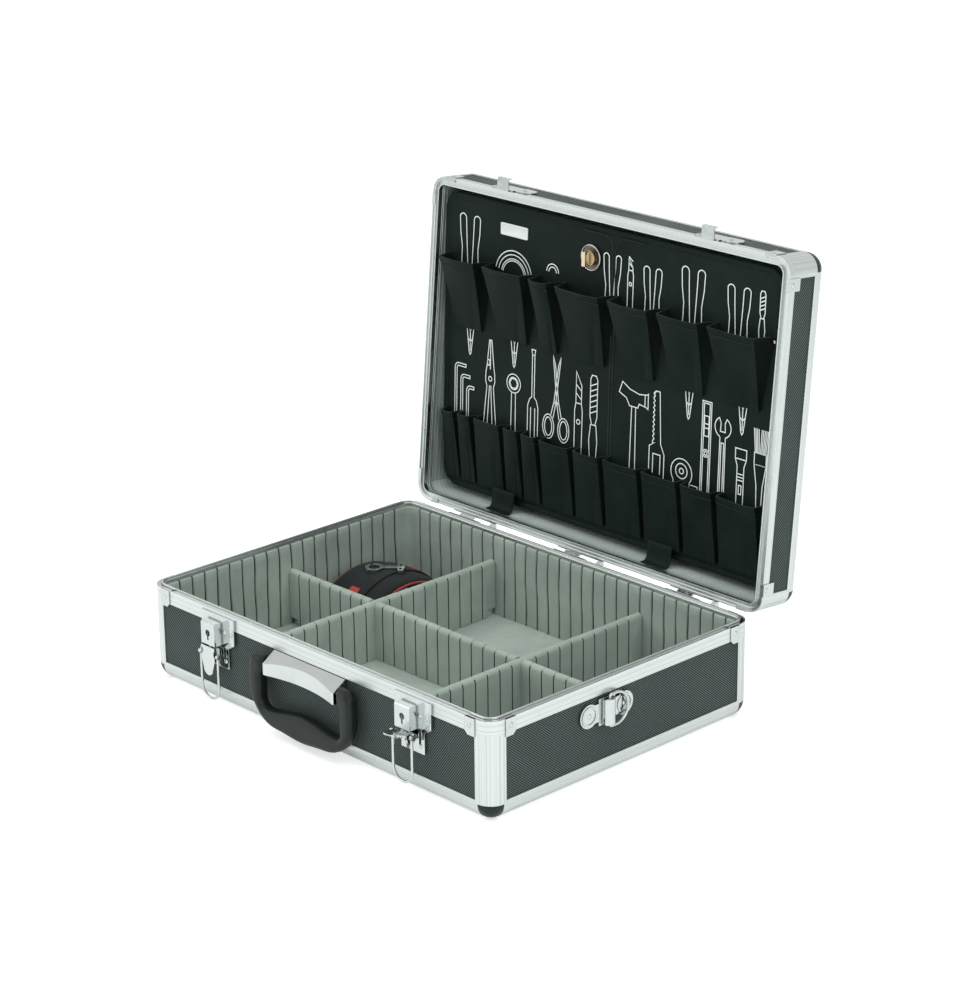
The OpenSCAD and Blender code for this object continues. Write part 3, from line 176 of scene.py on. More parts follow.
def aluminium(name, across):
    """Satin extrusion with fine die lines that run square to the direction across."""
    t = material(name)
    place = t.along(across)
    lines = t.noise(620, 3, 0.7, place)
    broad = t.noise(240, 1, 0.5, place)
    cloud = t.noise(9, 3)
    scratch = t.noise(55, 6, 0.75)
    colour = t.ramp(lines, (0.34, (0.53, 0.575, 0.56)), (0.56, (0.74, 0.775, 0.76)))
    colour = t.mix(t.band(broad, 0.35, 0.65, 0.0, 0.35), colour, (0.68, 0.725, 0.72))
    colour = t.mix(t.band(cloud, 0.35, 0.7, 0.0, 0.25), colour, (0.63, 0.665, 0.65))
    rough = t.math("ADD", t.band(broad, 0.3, 0.7, 0.27, 0.36), t.band(scratch, 0.4, 0.75, 0.0, 0.1))
    normal = t.bump(lines, 0.3, 0.00008, t.rounded(0.35))
    return t.finish(Base_Color=colour, Metallic=1.0, Roughness=rough, Normal=normal)


def chrome(name, tint=(0.64, 0.672, 0.668), rough=(0.07, 0.16)):
    """Bright plate with rounded pressed edges, and painted shade where faces meet."""
    t = material(name)
    cloud = t.noise(60, 3)
    fine = t.noise(420, 4, 0.6)
    press = t.noise(110, 2)
    crevice_shade = t.add("AmbientOcclusion", {"samples": 6}, Distance=0.004).outputs["AO"]
    colour = t.mix(t.band(cloud, 0.35, 0.75, 0.0, 0.5), tint, dim(tint, 0.86))
    # painted shade: the colour goes nearly black where ambient occlusion finds faces close by
    colour = t.mix(t.band(crevice_shade, 0.3, 0.85, 0.92, 0.0), colour, dim(tint, 0.07))
    normal = t.bump(press, 0.2, 0.0008, t.rounded(0.5))
    normal = t.bump(fine, 0.07, 0.0001, normal)
    return t.finish(Base_Color=colour, Metallic=1.0, Roughness=t.band(cloud, 0.3, 0.7, *rough),
                    Normal=normal)


def ribbed_panel(name, slant, pitch=0.0018):
    """Dark laminate with fine diagonal ribs that cross the direction slant."""
    t = material(name)
    wave = t.waves(slant, pitch)
    weave = t.noise(1100, 1)
    height = t.math("MULTIPLY_ADD", t.math("SUBTRACT", weave, 0.5), 1.1, wave)
    cloud = t.noise(14, 4)
    dust = t.noise(900, 2)
    colour = t.ramp(t.band(height, -1.0, 1.0), (0.15, (0.0085, 0.0135, 0.0135)),
                    (0.55, (0.034, 0.046, 0.045)), (0.95, (0.128, 0.158, 0.152)))
    colour = t.mix(t.band(cloud, 0.3, 0.7, 0.0, 0.22), colour, (0.036, 0.049, 0.048))
    colour = t.mix(t.band(dust, 0.62, 0.8, 0.0, 0.1), colour, (0.16, 0.175, 0.165))
    normal = t.bump(wave, 0.5, 0.0002)
    return t.finish(Base_Color=colour, Roughness=t.band(cloud, 0.3, 0.7, 0.5, 0.62), Normal=normal,
                    Specular_IOR_Level=0.16)


def moulding(name, base, gloss, grain=900):
    """Moulded plastic or rubber with a fine grain."""
    t = material(name)
    cloud = t.noise(30, 3)
    fine = t.noise(grain, 3, 0.6)
    colour = t.ramp(cloud, (0.3, dim(base, 0.8)), (0.7, dim(base, 1.4)))
    return t.finish(Base_Color=colour, Roughness=t.band(cloud, 0.3, 0.7, *gloss),
                    Normal=t.bump(fine, 0.25, 0.00012, t.rounded(0.5)), Specular_IOR_Level=0.3)


LINE_PITCH = 0.0048


def suede(name, base, lined=None):
    """Napped lining; lined adds fine ribs, stacked along that direction."""
    t = material(name)
    brush = t.noise(26, 4, 0.6)
    patch = t.noise(7, 2)
    nap = t.noise(1500, 3, 0.7)
    colour = t.ramp(brush, (0.32, dim(base, 0.84)), (0.68, dim(base, 1.13)))
    colour = t.mix(t.band(patch, 0.35, 0.7, 0.0, 0.3), colour, dim(base, 0.9))
    colour = t.mix(t.band(nap, 0.35, 0.7, 0.0, 0.2), colour, dim(base, 0.7))
    normal = t.bump(nap, 0.4, 0.0002)
    normal = t.bump(t.noise(70, 3), 0.35, 0.0012, normal)
    if lined:
        rib = t.waves(lined, LINE_PITCH)
        colour = t.mix(t.band(rib, 0.1, 1.0, 0.0, 0.34), colour, dim(base, 0.45))
        normal = t.bump(rib, 0.5, 0.00025, normal)
    return t.finish(Base_Color=colour, Roughness=0.93, Normal=normal, Sheen_Weight=0.25,
                    Sheen_Roughness=0.5, Specular_IOR_Level=0.2)


def vinyl(name, base, gloss=(0.4, 0.54)):
    """Grained sheet vinyl with soft creases."""
    t = material(name)
    cells = t.add("TexVoronoi", {"feature": "DISTANCE_TO_EDGE"}, Vector=t.coords(), Scale=950.0)
    fold = t.noise(34, 4, 0.6)
    cloud = t.noise(11, 2)
    colour = t.ramp(fold, (0.3, dim(base, 0.8)), (0.7, dim(base, 1.35)))
    colour = t.mix(t.band(cloud, 0.35, 0.7, 0.0, 0.4), colour, dim(base, 1.7))
    normal = t.bump(t.band(cells.outputs["Distance"], 0.0, 0.22), 0.3, 0.00012)
    normal = t.bump(fold, 0.3, 0.0012, normal)
    return t.finish(Base_Color=colour, Roughness=t.band(fold, 0.3, 0.7, *gloss), Normal=normal,
                    Specular_IOR_Level=0.06)


def webbing(name, base, step, sheen):
    """Woven tape or thread; step is the weave's pitch."""
    t = material(name)
    weave = t.math("MULTIPLY", t.waves((1, 0, 0), step), t.waves((0, 1, 0.4), step))
    cloud = t.noise(40, 3)
    colour = t.ramp(t.band(weave, -1.0, 1.0), (0.1, dim(base, 0.6)), (0.9, dim(base, 1.6)))
    colour = t.mix(t.band(cloud, 0.3, 0.7, 0.0, 0.3), colour, base)
    normal = t.bump(weave, 0.5, 0.0003)
    return t.finish(Base_Color=colour, Roughness=0.85, Normal=normal, Sheen_Weight=sheen)


def paint(name, colour, worn):
    """Screen-printed ink, a little thin in places."""
    t = material(name)
    thin = t.noise(700, 4, 0.7)
    shade = t.noise(30, 2)
    body = t.mix(t.band(thin, 0.55, 0.75, 0.0, worn), colour, dim(colour, 0.45))
    body = t.mix(t.band(shade, 0.3, 0.7, 0.0, 0.2), body, dim(colour, 0.85))
    return t.finish(Base_Color=body, Roughness=t.band(thin, 0.3, 0.7, 0.45, 0.6),
                    Normal=t.bump(thin, 0.2, 0.00008))


def lid_way(vector):
    """A direction of the shut lid, turned to where the open lid has it."""
    return tuple(LID.to_3x3() @ Vector(vector))


POST_WAY = (0.7071, 0.7071, 0)
RIB_XZ, RIB_YZ, RIB_XY = (-0.795, 0, 0.606), (0, 0.64, 0.77), (0.64, 0.77, 0)
ALU_RAIL = aluminium("alu_rail", UP)
ALU_POST = aluminium("alu_post", POST_WAY)
ALU_LID_RAIL = aluminium("alu_lid_rail", lid_way(UP))
ALU_LID_POST = aluminium("alu_lid_post", lid_way(POST_WAY))
CHROME = chrome("chrome")
BRASS = chrome("brass", (0.72, 0.60, 0.42), (0.08, 0.2))
SMOKED = chrome("smoked_brass", (0.17, 0.15, 0.115), (0.12, 0.25))
PANEL_XZ = ribbed_panel("panel_front_ribs", RIB_XZ)
PANEL_YZ = ribbed_panel("panel_side_ribs", RIB_YZ)
PANEL_XY = ribbed_panel("panel_floor_ribs", RIB_XY)
PANEL_LID_YZ = ribbed_panel("lid_side_ribs", lid_way(RIB_YZ), 0.0023)
PANEL_LID_XZ = ribbed_panel("lid_front_ribs", lid_way(RIB_XZ))
PANEL_LID_XY = ribbed_panel("lid_top_ribs", lid_way(RIB_XY))
MOULD = moulding("corner_moulding", (0.012, 0.020, 0.021), (0.2, 0.32))
GRIP = moulding("grip", (0.0085, 0.0125, 0.0115), (0.3, 0.42), 700)
SUEDE = suede("lining_suede", (0.335, 0.395, 0.350))
SUEDE_FLOOR = suede("floor_suede", (0.385, 0.450, 0.405))
SUEDE_DIVIDER = suede("divider_suede", (0.350, 0.412, 0.365))
SUEDE_LID = suede("lid_suede", (0.32, 0.375, 0.348), lid_way(UP))
# painted light: a brighter copy of the lid suede for the hinge wall, which faces up to the lamps
SUEDE_HINGE_LIT = suede("hinge_wall_lit_suede", (0.50, 0.575, 0.54), lid_way(UP))
# painted shade: a near-black copy of the suede for the faces deep in the grooves
GROOVE_SHADE = suede("groove_shade_suede", (0.040, 0.052, 0.048))
VINYL = vinyl("black_vinyl", (0.0092, 0.0155, 0.0138))
# painted highlight: a lighter, glossier copy of the vinyl for the pocket mouths' top edges and the
# seam ridges
VINYL_HIGHLIGHT = vinyl("vinyl_painted_highlight", (0.024, 0.031, 0.029), (0.24, 0.36))
# painted shade: a darker copy of the vinyl for the pockets' right gussets
VINYL_GUSSET_SHADE = vinyl("vinyl_gusset_shade", (0.0055, 0.0088, 0.008), (0.5, 0.6))
THREAD = webbing("thread", (0.030, 0.042, 0.039), 0.0009, 0.0)
INK = paint("white_ink", (0.90, 0.93, 0.925), 0.35)
LABEL = paint("label_face", (0.84, 0.86, 0.85), 0.15)
STRAP = webbing("strap_webbing", (0.0065, 0.0088, 0.0092), 0.0022, 0.06)
PIPING = webbing("red_piping", (0.36, 0.035, 0.035), 0.0016, 0.2)


# ---- mesh helpers: a shape is a pair of vertices and faces ----

def place_object(name, data):
    obj = bpy.data.objects.new(name, data)
    bpy.context.collection.objects.link(obj)
    return obj


def piece(name, shape, body, slot, mat, at=HERE, replaces=(), sharp=None, closed=True):
    """Makes a piece of a shape in millimetres; a closed one is smooth and faces outward."""
    verts, faces = shape
    mesh = bpy.data.meshes.new(name)
    place = Matrix.Scale(MM, 4) @ at
    mesh.from_pydata([tuple(place @ Vector(v)) for v in verts], [], faces)
    mesh.validate()
    mesh.materials.append(mat)
    if closed:
        mesh.shade_smooth()
        if sharp:
            mesh.set_sharp_from_angle(angle=radians(sharp))
        bm = bmesh.new()
        bm.from_mesh(mesh)
        bmesh.ops.recalc_face_normals(bm, faces=bm.faces)
        bm.to_mesh(mesh)
        bm.free()
    obj = place_object(name, mesh)
    if body:
        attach(obj, body)
    if replaces:
        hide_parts(*replaces)
    return obj


def on_pallet(name, shape, mat, slot="vinyl", **more):
    return piece(name, shape, "tool_pallet", slot, mat, PALLET, **more)


def on_pad(name, shape, mat, **more):
    return piece(name, shape, "strap_pad", "webbing", mat, **more)


def loft(rings, closed_path=False):
    """The shape through rings of equal length; its ends are capped where the path is open."""
    count, n = len(rings), len(rings[0])
    verts = [v for ring in rings for v in ring]
    faces = []
    for i in range(count if closed_path else count - 1):
        a, b = i * n, (i + 1) % count * n
        for j in range(n):
            k = (j + 1) % n
            faces.append((a + j, a + k, b + k, b + j))
    if not closed_path:
        faces.append(tuple(reversed(range(n))))
        faces.append(tuple((count - 1) * n + j for j in range(n)))
    return verts, faces


def paint_faces(obj, mat, faces):
    """Gives the numbered faces of a piece another material."""
    obj.data.materials.append(mat)
    slot = len(obj.data.materials) - 1
    for index in faces:
        obj.data.polygons[index].material_index = slot


def merge(shapes):
    """Joins shapes into one."""
    verts, faces = [], []
    for more_verts, more_faces in shapes:
        shift = len(verts)
        verts += more_verts
        faces += [tuple(i + shift for i in f) for f in more_faces]
    return verts, faces


def turns(n):
    """n angles that share a full turn."""
    return [2 * pi * k / n for k in range(n)]


def tube(path, radius, sides=8, closed=False, flat=1.0, up=UP):
    """A tube along a path; flat squashes it along up."""
    points = [Vector(p) for p in path]
    n = len(points)
    rings = []
    for i, p in enumerate(points):
        before = points[i - 1] if closed or i else p
        after = points[(i + 1) % n] if closed or i < n - 1 else p
        way = (after - before).normalized()
        across = way.cross(Vector(up)).normalized()
        over = across.cross(way).normalized()
        rings.append([tuple(p + across * (radius * cos(a)) + over * (radius * flat * sin(a)))
                      for a in turns(sides)])
    return loft(rings, closed)


def lerp(a, b, t):
    return a + (b - a) * t


def smooth(t):
    t = min(1.0, max(0.0, t))
    return t * t * (3 - 2 * t)


def wobble(x, y, seed, size):
    return size * noise.noise(Vector((x, y, seed * 7.31)))


def round_rect(w, d, r, inset, steps):
    """Points round a centred rectangle with rounded corners, as (x, y)."""
    hx, hy, rr = w / 2 - inset, d / 2 - inset, max(0.05, r - inset)
    points = []
    for cx, cy, a0 in ((1, -1, -90), (1, 1, 0), (-1, 1, 90), (-1, -1, 180)):
        for k in range(steps + 1):
            a = radians(a0 + 90 * k / steps)
            points.append((cx * (hx - rr) + rr * cos(a), cy * (hy - rr) + rr * sin(a)))
    return points


def plate(w, h, r, steps, profile, cx, cz):
    """A rounded plate round (cx, cz); its profile is a row of (inset, y)."""
    return loft([[(cx + x, y, cz + z) for x, z in round_rect(w, h, r, inset, steps)]
                 for inset, y in profile])


# ---- linings ----

PLAIN_STEPS, CORNER_STEPS = 20, 5
GROOVE_STEPS = (-5.3, -3.2, -1.9, -1.25, -0.9, -0.6, 0.6, 0.9, 1.25, 1.9, 3.2, 5.3)
WALL_ROLL = ((0.0, 1.5), (0.35, 0.6), (1.2, 0.0))
ROLL_DEEP = 1.2
HINGE_WALL = 2
CALM = 12  # the waves die down this far from a corner


def groove_depth(u):
    """Depth of the lining's face below its crown, u mm from a groove's middle."""
    u = abs(u)
    return 2.0 * (1 - smooth((u - 0.65) / 0.6)) + 0.5 * (1 - smooth((u - 1.0) / 2.6))


def wall_stations(inset, grooved):
    """Stations round the inside of the case: (x, y, inward x, inward y, place, depth, wall).

    Walls 0 to 3 are the front, the right side, the hinge side and the left side.
    """
    r = CORNER_R - inset
    long_wall = (SIDE_X - CORNER_R, BACK_Y - inset, 0.5)
    short_wall = (BACK_Y - CORNER_R, SIDE_X - inset, 0.0)
    out = []
    for wall in range(4):
        half, reach, first = short_wall if wall % 2 else long_wall
        places = []
        if grooved:
            count = int((half + 4) / PITCH + 1)
            for i in range(-count, count + 1):
                centre = (i + first) * PITCH
                if abs(centre) <= half - 1.5:
                    places += [(centre + o, groove_depth(o)) for o in GROOVE_STEPS
                               if abs(centre + o) < half]
        else:
            places = [(half * (2 * k / PLAIN_STEPS - 1), 0.0) for k in range(1, PLAIN_STEPS)]
        c, s = cos(radians(90 * wall)), sin(radians(90 * wall))
        for x, depth in [(-half, 0.0)] + sorted(places) + [(half, 0.0)]:
            out.append((c * x + s * reach, s * x - c * reach, -s, c, x, depth, wall))
        for k in range(1, CORNER_STEPS):
            a = radians(-90 + 90 * k / CORNER_STEPS)
            x, y = half + r * cos(a), r - reach + r * sin(a)
            nx, ny = -cos(a), -sin(a)
            out.append((c * x - s * y, s * x + c * y, c * nx - s * ny, s * nx + c * ny,
                        half + k, 0.0, wall))
    return out


def wall_lining(name, inset, low, high, grooved, body, mat, at, replaces):
    """The lining of all four walls: a rolled top edge over a face that waves a little."""
    stations = wall_stations(inset, grooved)
    back = inset - INNER_IN - 0.06
    levels = 12
    rings = []
    for x, y, nx, ny, place, depth, wall in stations:
        run = (SIDE_X if wall % 2 == 0 else BACK_Y) - CORNER_R
        loose = min(1.0, max(0.0, (run - abs(place)) / CALM)) if grooved else 0.0
        ring = [(x - nx * back, y - ny * back, low), (x - nx * back, y - ny * back, high)]
        for drop, pull in WALL_ROLL:
            away = min(depth, ROLL_DEEP) + pull
            ring.append((x - nx * away, y - ny * away, high - drop))
        for k in range(1, levels + 1):
            z = lerp(high - ROLL_DEEP, low, k / levels)
            sway = loose * (wobble(place * 0.021, z * 0.024, wall + 1, 1.5)
                            + wobble(place * 0.31, z * 0.05, wall + 9, 0.5))
            away = depth - 0.8 * max(0.0, wobble(place * 0.05, z * 0.05, wall + 20, 0.35))
            ring.append((x + ny * sway - nx * away, y - nx * sway - ny * away, z))
        rings.append(ring)
    obj = piece(name, loft(rings, True), body, "lining", mat, at, replaces, sharp=60)
    if grooved:
        # faces deep in a groove get the painted shade suede
        other, chosen = GROOVE_SHADE, [i for i in range(len(stations) - 1)
                                 if min(stations[i][5], stations[i + 1][5]) > 0.8]
    else:
        # the hinge wall gets the brighter suede as painted light
        other, chosen = SUEDE_HINGE_LIT, [i for i, s in enumerate(stations) if s[6] == HINGE_WALL]
    n = len(rings[0])
    paint_faces(obj, other, [i * n + j for i in chosen for j in range(n)])


def sheet_floor(name, inset, low, top, body, mat, at, replaces, swell=0.22):
    """A closed sheet over the floor or the lid's top, its open face gently uneven."""
    hx, hy, nx, ny = SIDE_X - inset, BACK_Y - inset, 66, 48
    rings = []
    for i in range(nx + 1):
        x = lerp(-hx, hx, i / nx)
        ring = [(x, hy, low), (x, -hy, low)]
        for j in range(ny + 1):
            y = lerp(-hy, hy, j / ny)
            lift = wobble(x * 0.03, y * 0.03, 3, swell) - swell * 0.5
            ring.append((x, y, top + lift))
        rings.append(ring)
    piece(name, loft(rings), body, "lining", mat, at, replaces, sharp=60)


wall_lining("base_wall_lining", LINING_IN, FLOOR_TOP, LINING_TOP, True, "base", SUEDE, HERE,
            ("base_lining_long", "base_lining_short"))
sheet_floor("base_floor_lining", 9.6, FLOOR_LOW + 0.05, FLOOR_TOP, "base", SUEDE_FLOOR, HERE,
            ("base_lining_floor",))
wall_lining("lid_wall_lining", LID_LINING_IN, LID_LINING_LOW, LID_LINING_TOP, False, "lid",
            SUEDE_LID, LID, ("lid_lining_long", "lid_lining_short"))
sheet_floor("lid_top_lining", 8.0, LID_SHEET_BACK, LID_SHEET_FACE, "lid", SUEDE_LID, LID,
            ("lid_lining_top",), 0.1)


# ---- dividers ----

DIVIDER_STEPS = (-5.0, -3.0, -1.8, -1.15, -0.7, 0.0, 0.7, 1.15, 1.8, 3.0, 5.0)
CROWN, GROOVE_IN, GROOVE_DIP = 4.4, 0.95, 1.15
LAP_PLAY, END_PLAY, END_ROUND = 0.15, 0.3, 1.2
NOTCH_IN, NOTCH_UP = 13.0, 8.0


def divider(node, centre, turned, half, start, laps, lap_above):
    """A foam board covered in suede: rounded top, grooves down both faces, a tongue at each end."""

    def place(u, across, z):
        return (centre - across, u, z) if turned else (u, centre + across, z)

    middle_z = (DIVIDER_TOP + DIVIDER_FOOT) / 2
    slot = DIVIDER_T / 2 + LAP_PLAY
    body_half = half - END_PLAY
    notch = body_half - NOTCH_IN
    marks = [(s * u, 0.0) for s in (-1, 1)
             for u in (body_half, body_half - END_ROUND, notch + 0.001, notch - 0.001)]
    count = int(half / PITCH) + 1
    for i in range(-count, count + 1):
        c = (i + start) * PITCH
        if abs(c) < body_half - 3:
            marks += [(c + o, max(0.0, 1 - abs(o) / 1.3)) for o in DIVIDER_STEPS
                      if abs(c + o) < body_half - 1.3]
    stations = [(u, g, False) for u, g in marks if all(abs(u - lap) > slot + 0.05 for lap in laps)]
    for lap in laps:
        stations += [(lap - slot, 0, False), (lap - slot + 0.001, 0, True),
                     (lap + slot - 0.001, 0, True), (lap + slot, 0, False)]
    stations.sort(key=lambda station: station[0])
    levels, crown_steps = 7, 7
    rings = []
    for u, g, lapped in stations:
        squeeze = 1 - 0.16 * (1 - min(1.0, (body_half - abs(u)) / END_ROUND))
        half_t = (DIVIDER_T / 2 - GROOVE_IN * smooth(g)) * squeeze
        low = DIVIDER_FOOT + (NOTCH_UP if abs(u) > notch else 0.0)
        high = DIVIDER_TOP - GROOVE_DIP * smooth(g)
        high += wobble(u * 0.02, 0, start * 4 + centre * 0.01, 0.5)
        if lapped:
            low, high = (low, middle_z) if lap_above else (middle_z + 2 * LAP_PLAY, high)
        left, right = [], []
        for k in range(levels + 1):
            z = lerp(low, high - CROWN, k / levels)
            for side, column in ((-1, left), (1, right)):
                sway = 0.0 if lapped else wobble(u * 0.03, z * 0.04, side + start * 3, 0.22)
                column.append((side * (half_t + sway), z))
        crown = [(-half_t * cos(a), high - CROWN + CROWN * sin(a))
                 for a in (pi * k / (crown_steps + 1) for k in range(1, crown_steps + 1))]
        lean = wobble(u * 0.012, 0, 5 + start + centre * 0.02, 0.3)
        rings.append([place(u, across + lean * (z - DIVIDER_FOOT) / 60, z)
                      for across, z in left + crown + right[::-1]])
    parts = [loft(rings)]
    low, high, thin = DIVIDER_FOOT + NOTCH_UP, DIVIDER_TOP - 5, 0.75
    for s in (-1, 1):
        parts.append(loft([[place(u, a, z) for a, z in
                            ((-thin, low), (thin, low), (thin, high), (-thin, high))]
                           for u in (s * (half - 1.0), s * (half + 1.6))]))
    obj = piece(node + "_padded", merge(parts), "divider_set", "lining", SUEDE_DIVIDER, HERE,
                (node,), sharp=70)
    n = len(rings[0])
    sides = [j for j in range(n - 1) if j < levels + 2 or j > levels + crown_steps - 2]
    # the groove faces down both sides get the painted shade suede
    paint_faces(obj, GROOVE_SHADE, [i * n + j for i in range(len(stations) - 1) for j in sides
                              if min(stations[i][1], stations[i + 1][1]) > 0.4])


divider("divider_long", 0.0, False, SIDE_X - LINING_IN, 0.5, (-CROSS_X, CROSS_X), True)
divider("divider_cross_left", -CROSS_X, True, BACK_Y - LINING_IN, 0.0, (0.0,), False)
divider("divider_cross_right", CROSS_X, True, BACK_Y - LINING_IN, 0.0, (0.0,), False)


# ---- tool pallet: x to the right, y into the board, z up from its foot ----

BOARD_PROFILE = (
    (1.8, 4.0), (0.4, 3.7), (0.0, 2.9), (0.0, 1.3), (0.4, 0.2), (1.5, -0.55), (3.0, -0.8),
    (4.6, -0.6), (5.6, 0.0), (6.2, 0.3), (6.9, 0.0), (8.0, -0.45), (10.0, -0.5), (13.0, -0.35),
    (20.0, -0.2))
BOARD_Y = -0.35
POCKET_FRONT, POCKET_SIDE = 18, 5
# below a pocket's mouth, and how far the seam and then the hem stand out there
HEM = ((8.2, 0.0), (7.2, -0.3), (6.8, -0.3), (6.4, 0.5), (3.5, 0.5), (0.5, 0.5), (0.0, 0.5))
STITCH_LEVEL = 12


def seam_paths():
    """The two halves' facing edges: each turns down from the top into the middle seam."""
    top, foot, r = PALLET_H - 7.2, 9.0, 13.0
    for side, seam_x in ((-1, 9.5), (1, 13.0)):
        path = [(seam_x + side * (r + 26), BOARD_Y, top)]
        for k in range(9):
            a = radians(90 * k / 8)
            path.append((seam_x + side * r * (1 - sin(a)), BOARD_Y, top - r * (1 - cos(a))))
        yield path + [(seam_x, BOARD_Y, lerp(top - r, foot, k / 10)) for k in range(1, 11)]


on_pallet("pallet_panel", plate(PALLET_W, PALLET_H, PALLET_R, 10, BOARD_PROFILE, 0, PALLET_H / 2),
          VINYL, replaces=("pallet_board",), sharp=50)
# the seam ridges take the painted highlight vinyl
for index, path in enumerate(seam_paths()):
    on_pallet("pallet_seam_%d" % index, tube(path, 0.8, flat=0.75, up=OUT), VINYL_HIGHLIGHT)


def pocket_places(widths):
    """Middle and width of each pocket of a row that fills the pallet."""
    room = PALLET_W - 16
    share = room / sum(widths)
    x = -room / 2
    for w in widths:
        yield x + share * w / 2, share * w - 0.3
        x += share * w


def pocket_line(half, depth, lean, bulge):
    """A pocket's outline from above: left side, front and pleated right side, as (x, out)."""
    left, right = -half + lean[0], half - lean[1]
    side = [k / POCKET_SIDE for k in range(POCKET_SIDE)]
    line = [(lerp(-half, left, t), lerp(0.3, depth, t)) for t in side]
    line += [(lerp(left, right, k / POCKET_FRONT),
              depth + bulge * sin(pi * k / POCKET_FRONT) ** 0.8) for k in range(POCKET_FRONT + 1)]
    return line + [(lerp(half, right, t) - lean[1] * 0.28 * sin(pi * (1 - t)),
                    lerp(0.3, depth, t)) for t in reversed(side)]


def pocket_mesh(xc, w, taper, low, high, mouth, foot_out, lean, seed):
    """One pocket: a vinyl sheet sewn down both sides, standing out at its hemmed mouth."""
    levels = [(low, 0.0)] + [(lerp(low + 3, high - 9.5, k / 9), 0.0) for k in range(10)]
    levels += [(high - down, hem) for down, hem in HEM]
    rings = []
    for z, hem in levels:
        t = (z - low) / (high - low)
        half = w / 2 * lerp(taper, 1.0, t)
        depth = lerp(foot_out, mouth, t ** 1.1)
        rows = []
        for thin in (0.0, 1.0):
            line = pocket_line(half - thin, depth - thin, (lean[0] * t, lean[1] * t),
                               mouth * 0.13 * t)
            row = []
            for k, (x, out) in enumerate(line):
                s = sin(pi * k / (len(line) - 1))
                fold = wobble(x * 0.03 + seed, z * 0.02, seed, 1.8) * s * (0.35 + 0.65 * t)
                pinch = 1.1 * exp(-((x / half - 0.42 - 0.2 * t) / 0.13) ** 2) * (1 - t) * s
                dip = -1.6 * s * t ** 6 * (0.5 + 0.5 * sin(seed * 3.1))
                d = max(0.3, out + fold - pinch + hem * min(1.0, 4 * s))
                row.append((xc + x, BOARD_Y - d, z + dip))
            rows.append(row)
        rings.append(rows[0] + rows[1][::-1])
    return loft(rings)


def stitches(verts, n):
    """A row of stitches along a pocket's front, just below its hem."""
    first = STITCH_LEVEL * n + POCKET_SIDE
    line = [Vector(v) - Vector((0, 0.25, 0)) for v in verts[first:first + POCKET_FRONT + 1]]
    return [tube([a.lerp(b, t), a.lerp(b, t + 0.36)], 0.32, 5)
            for a, b in zip(line, line[1:]) for t in (0.07, 0.57)]


def pocket_row(name, node, widths, taper, low, high, mouth, foot_out, lean):
    parts = [pocket_mesh(xc, w, taper, low, high, mouth, foot_out, lean, i * 1.7 + low * 0.01)
             for i, (xc, w) in enumerate(pocket_places(widths))]
    obj = on_pallet(name, merge(parts), VINYL, replaces=(node,), sharp=50)
    n = 2 * (POCKET_FRONT + 2 * POCKET_SIDE + 1)
    each, first = len(parts[0][1]), POCKET_SIDE + POCKET_FRONT
    strips = (each - 2) // n
    # the right gusset faces of each pocket get the painted shade vinyl
    gusset = [i * n + j for i in range(strips) for j in range(first, first + POCKET_SIDE)]
    # the top faces of each mouth get the painted highlight vinyl
    edge = [*range((strips - 1) * n, strips * n), each - 1]
    for mat, faces in ((VINYL_GUSSET_SHADE, gusset), (VINYL_HIGHLIGHT, edge)):
        paint_faces(obj, mat, [p * each + k for p in range(len(parts)) for k in faces])
    seams = [stitch for part in parts for stitch in stitches(part[0], n)]
    on_pallet(name + "_stitches", merge(seams), THREAD)


pocket_row("pallet_pockets_top_row", "pallet_pockets_upper", UPPER, 0.6, UPPER_LOW, UPPER_HIGH,
           UPPER_MOUTH, 3.0, (3.0, 9.0))
pocket_row("pallet_pockets_foot_row", "pallet_pockets_lower", LOWER, 0.9, LOWER_LOW, LOWER_HIGH,
           LOWER_MOUTH, 5.0, (2.0, 5.0))


def stud(x, z):
    """A domed stud on the pallet's face."""
    r = 1.9
    return loft([[(x + r * k * cos(a), -1.4 - out, z + r * k * sin(a)) for a in turns(14)]
                 for k, out in ((1, 0.0), (1, 0.5), (0.8, 1.0), (0.4, 1.25))])


studs = [stud(xc + w / 2 - 0.2, UPPER_HIGH - 4.5) for xc, w in pocket_places(UPPER)]
xc, w = list(pocket_places(LOWER))[-1]
studs.append(stud(xc + w / 2 - 0.2, LOWER_HIGH - 4.5))
on_pallet("pocket_studs", merge(studs), CHROME, "plated", sharp=40)


# ---- printed outlines: plain line drawings in a layout of their own ----

def arc(cx, cz, r, a0, a1, steps=14, rz=None):
    rz = rz or r
    return [(cx + r * cos(radians(lerp(a0, a1, k / steps))),
             cz + rz * sin(radians(lerp(a0, a1, k / steps)))) for k in range(steps + 1)]


def ring(cx, cz, r, rz=None, steps=22):
    return arc(cx, cz, r, 0, 360, steps, rz)


def box_line(x0, z0, x1, z1):
    return [(x0, z0), (x1, z0), (x1, z1), (x0, z1), (x0, z0)]


def both(stroke):
    """A stroke that goes on along its own mirror image."""
    return stroke + [(-x, z) for x, z in reversed(stroke)]


def mirrored(strokes):
    """Strokes, and their mirror images as further strokes."""
    return strokes + [[(-x, z) for x, z in s] for s in strokes]


def grip_loops(h, apart=3.0, w=9.0):
    """The rounded ends of a pair of handles."""
    inner, outer = apart + 3.0, apart + w
    return mirrored([[(apart, 0), (apart + 1.2, h * 0.4), (inner - 1, h * 0.68)]
                     + arc(inner + w / 2 - 0.6, h - w / 2, w / 2, 172, 12, 12)
                     + [(inner + w - 1.6, h * 0.62), (outer - 1, h * 0.34), (outer - 0.4, 0)]])


def closed_tip(h):
    """The pointed end of a closed tool, seen below the pocket it stands in."""
    return [both([(-5.4, h), (-1.3, 2), (0, 0)]), [(0, h - 9), (0, 4)],
            [(-2.6, h), (0, h - 9), (2.6, h)], [(-2.7, h - 16), (0, h - 19), (2.7, h - 16)]]


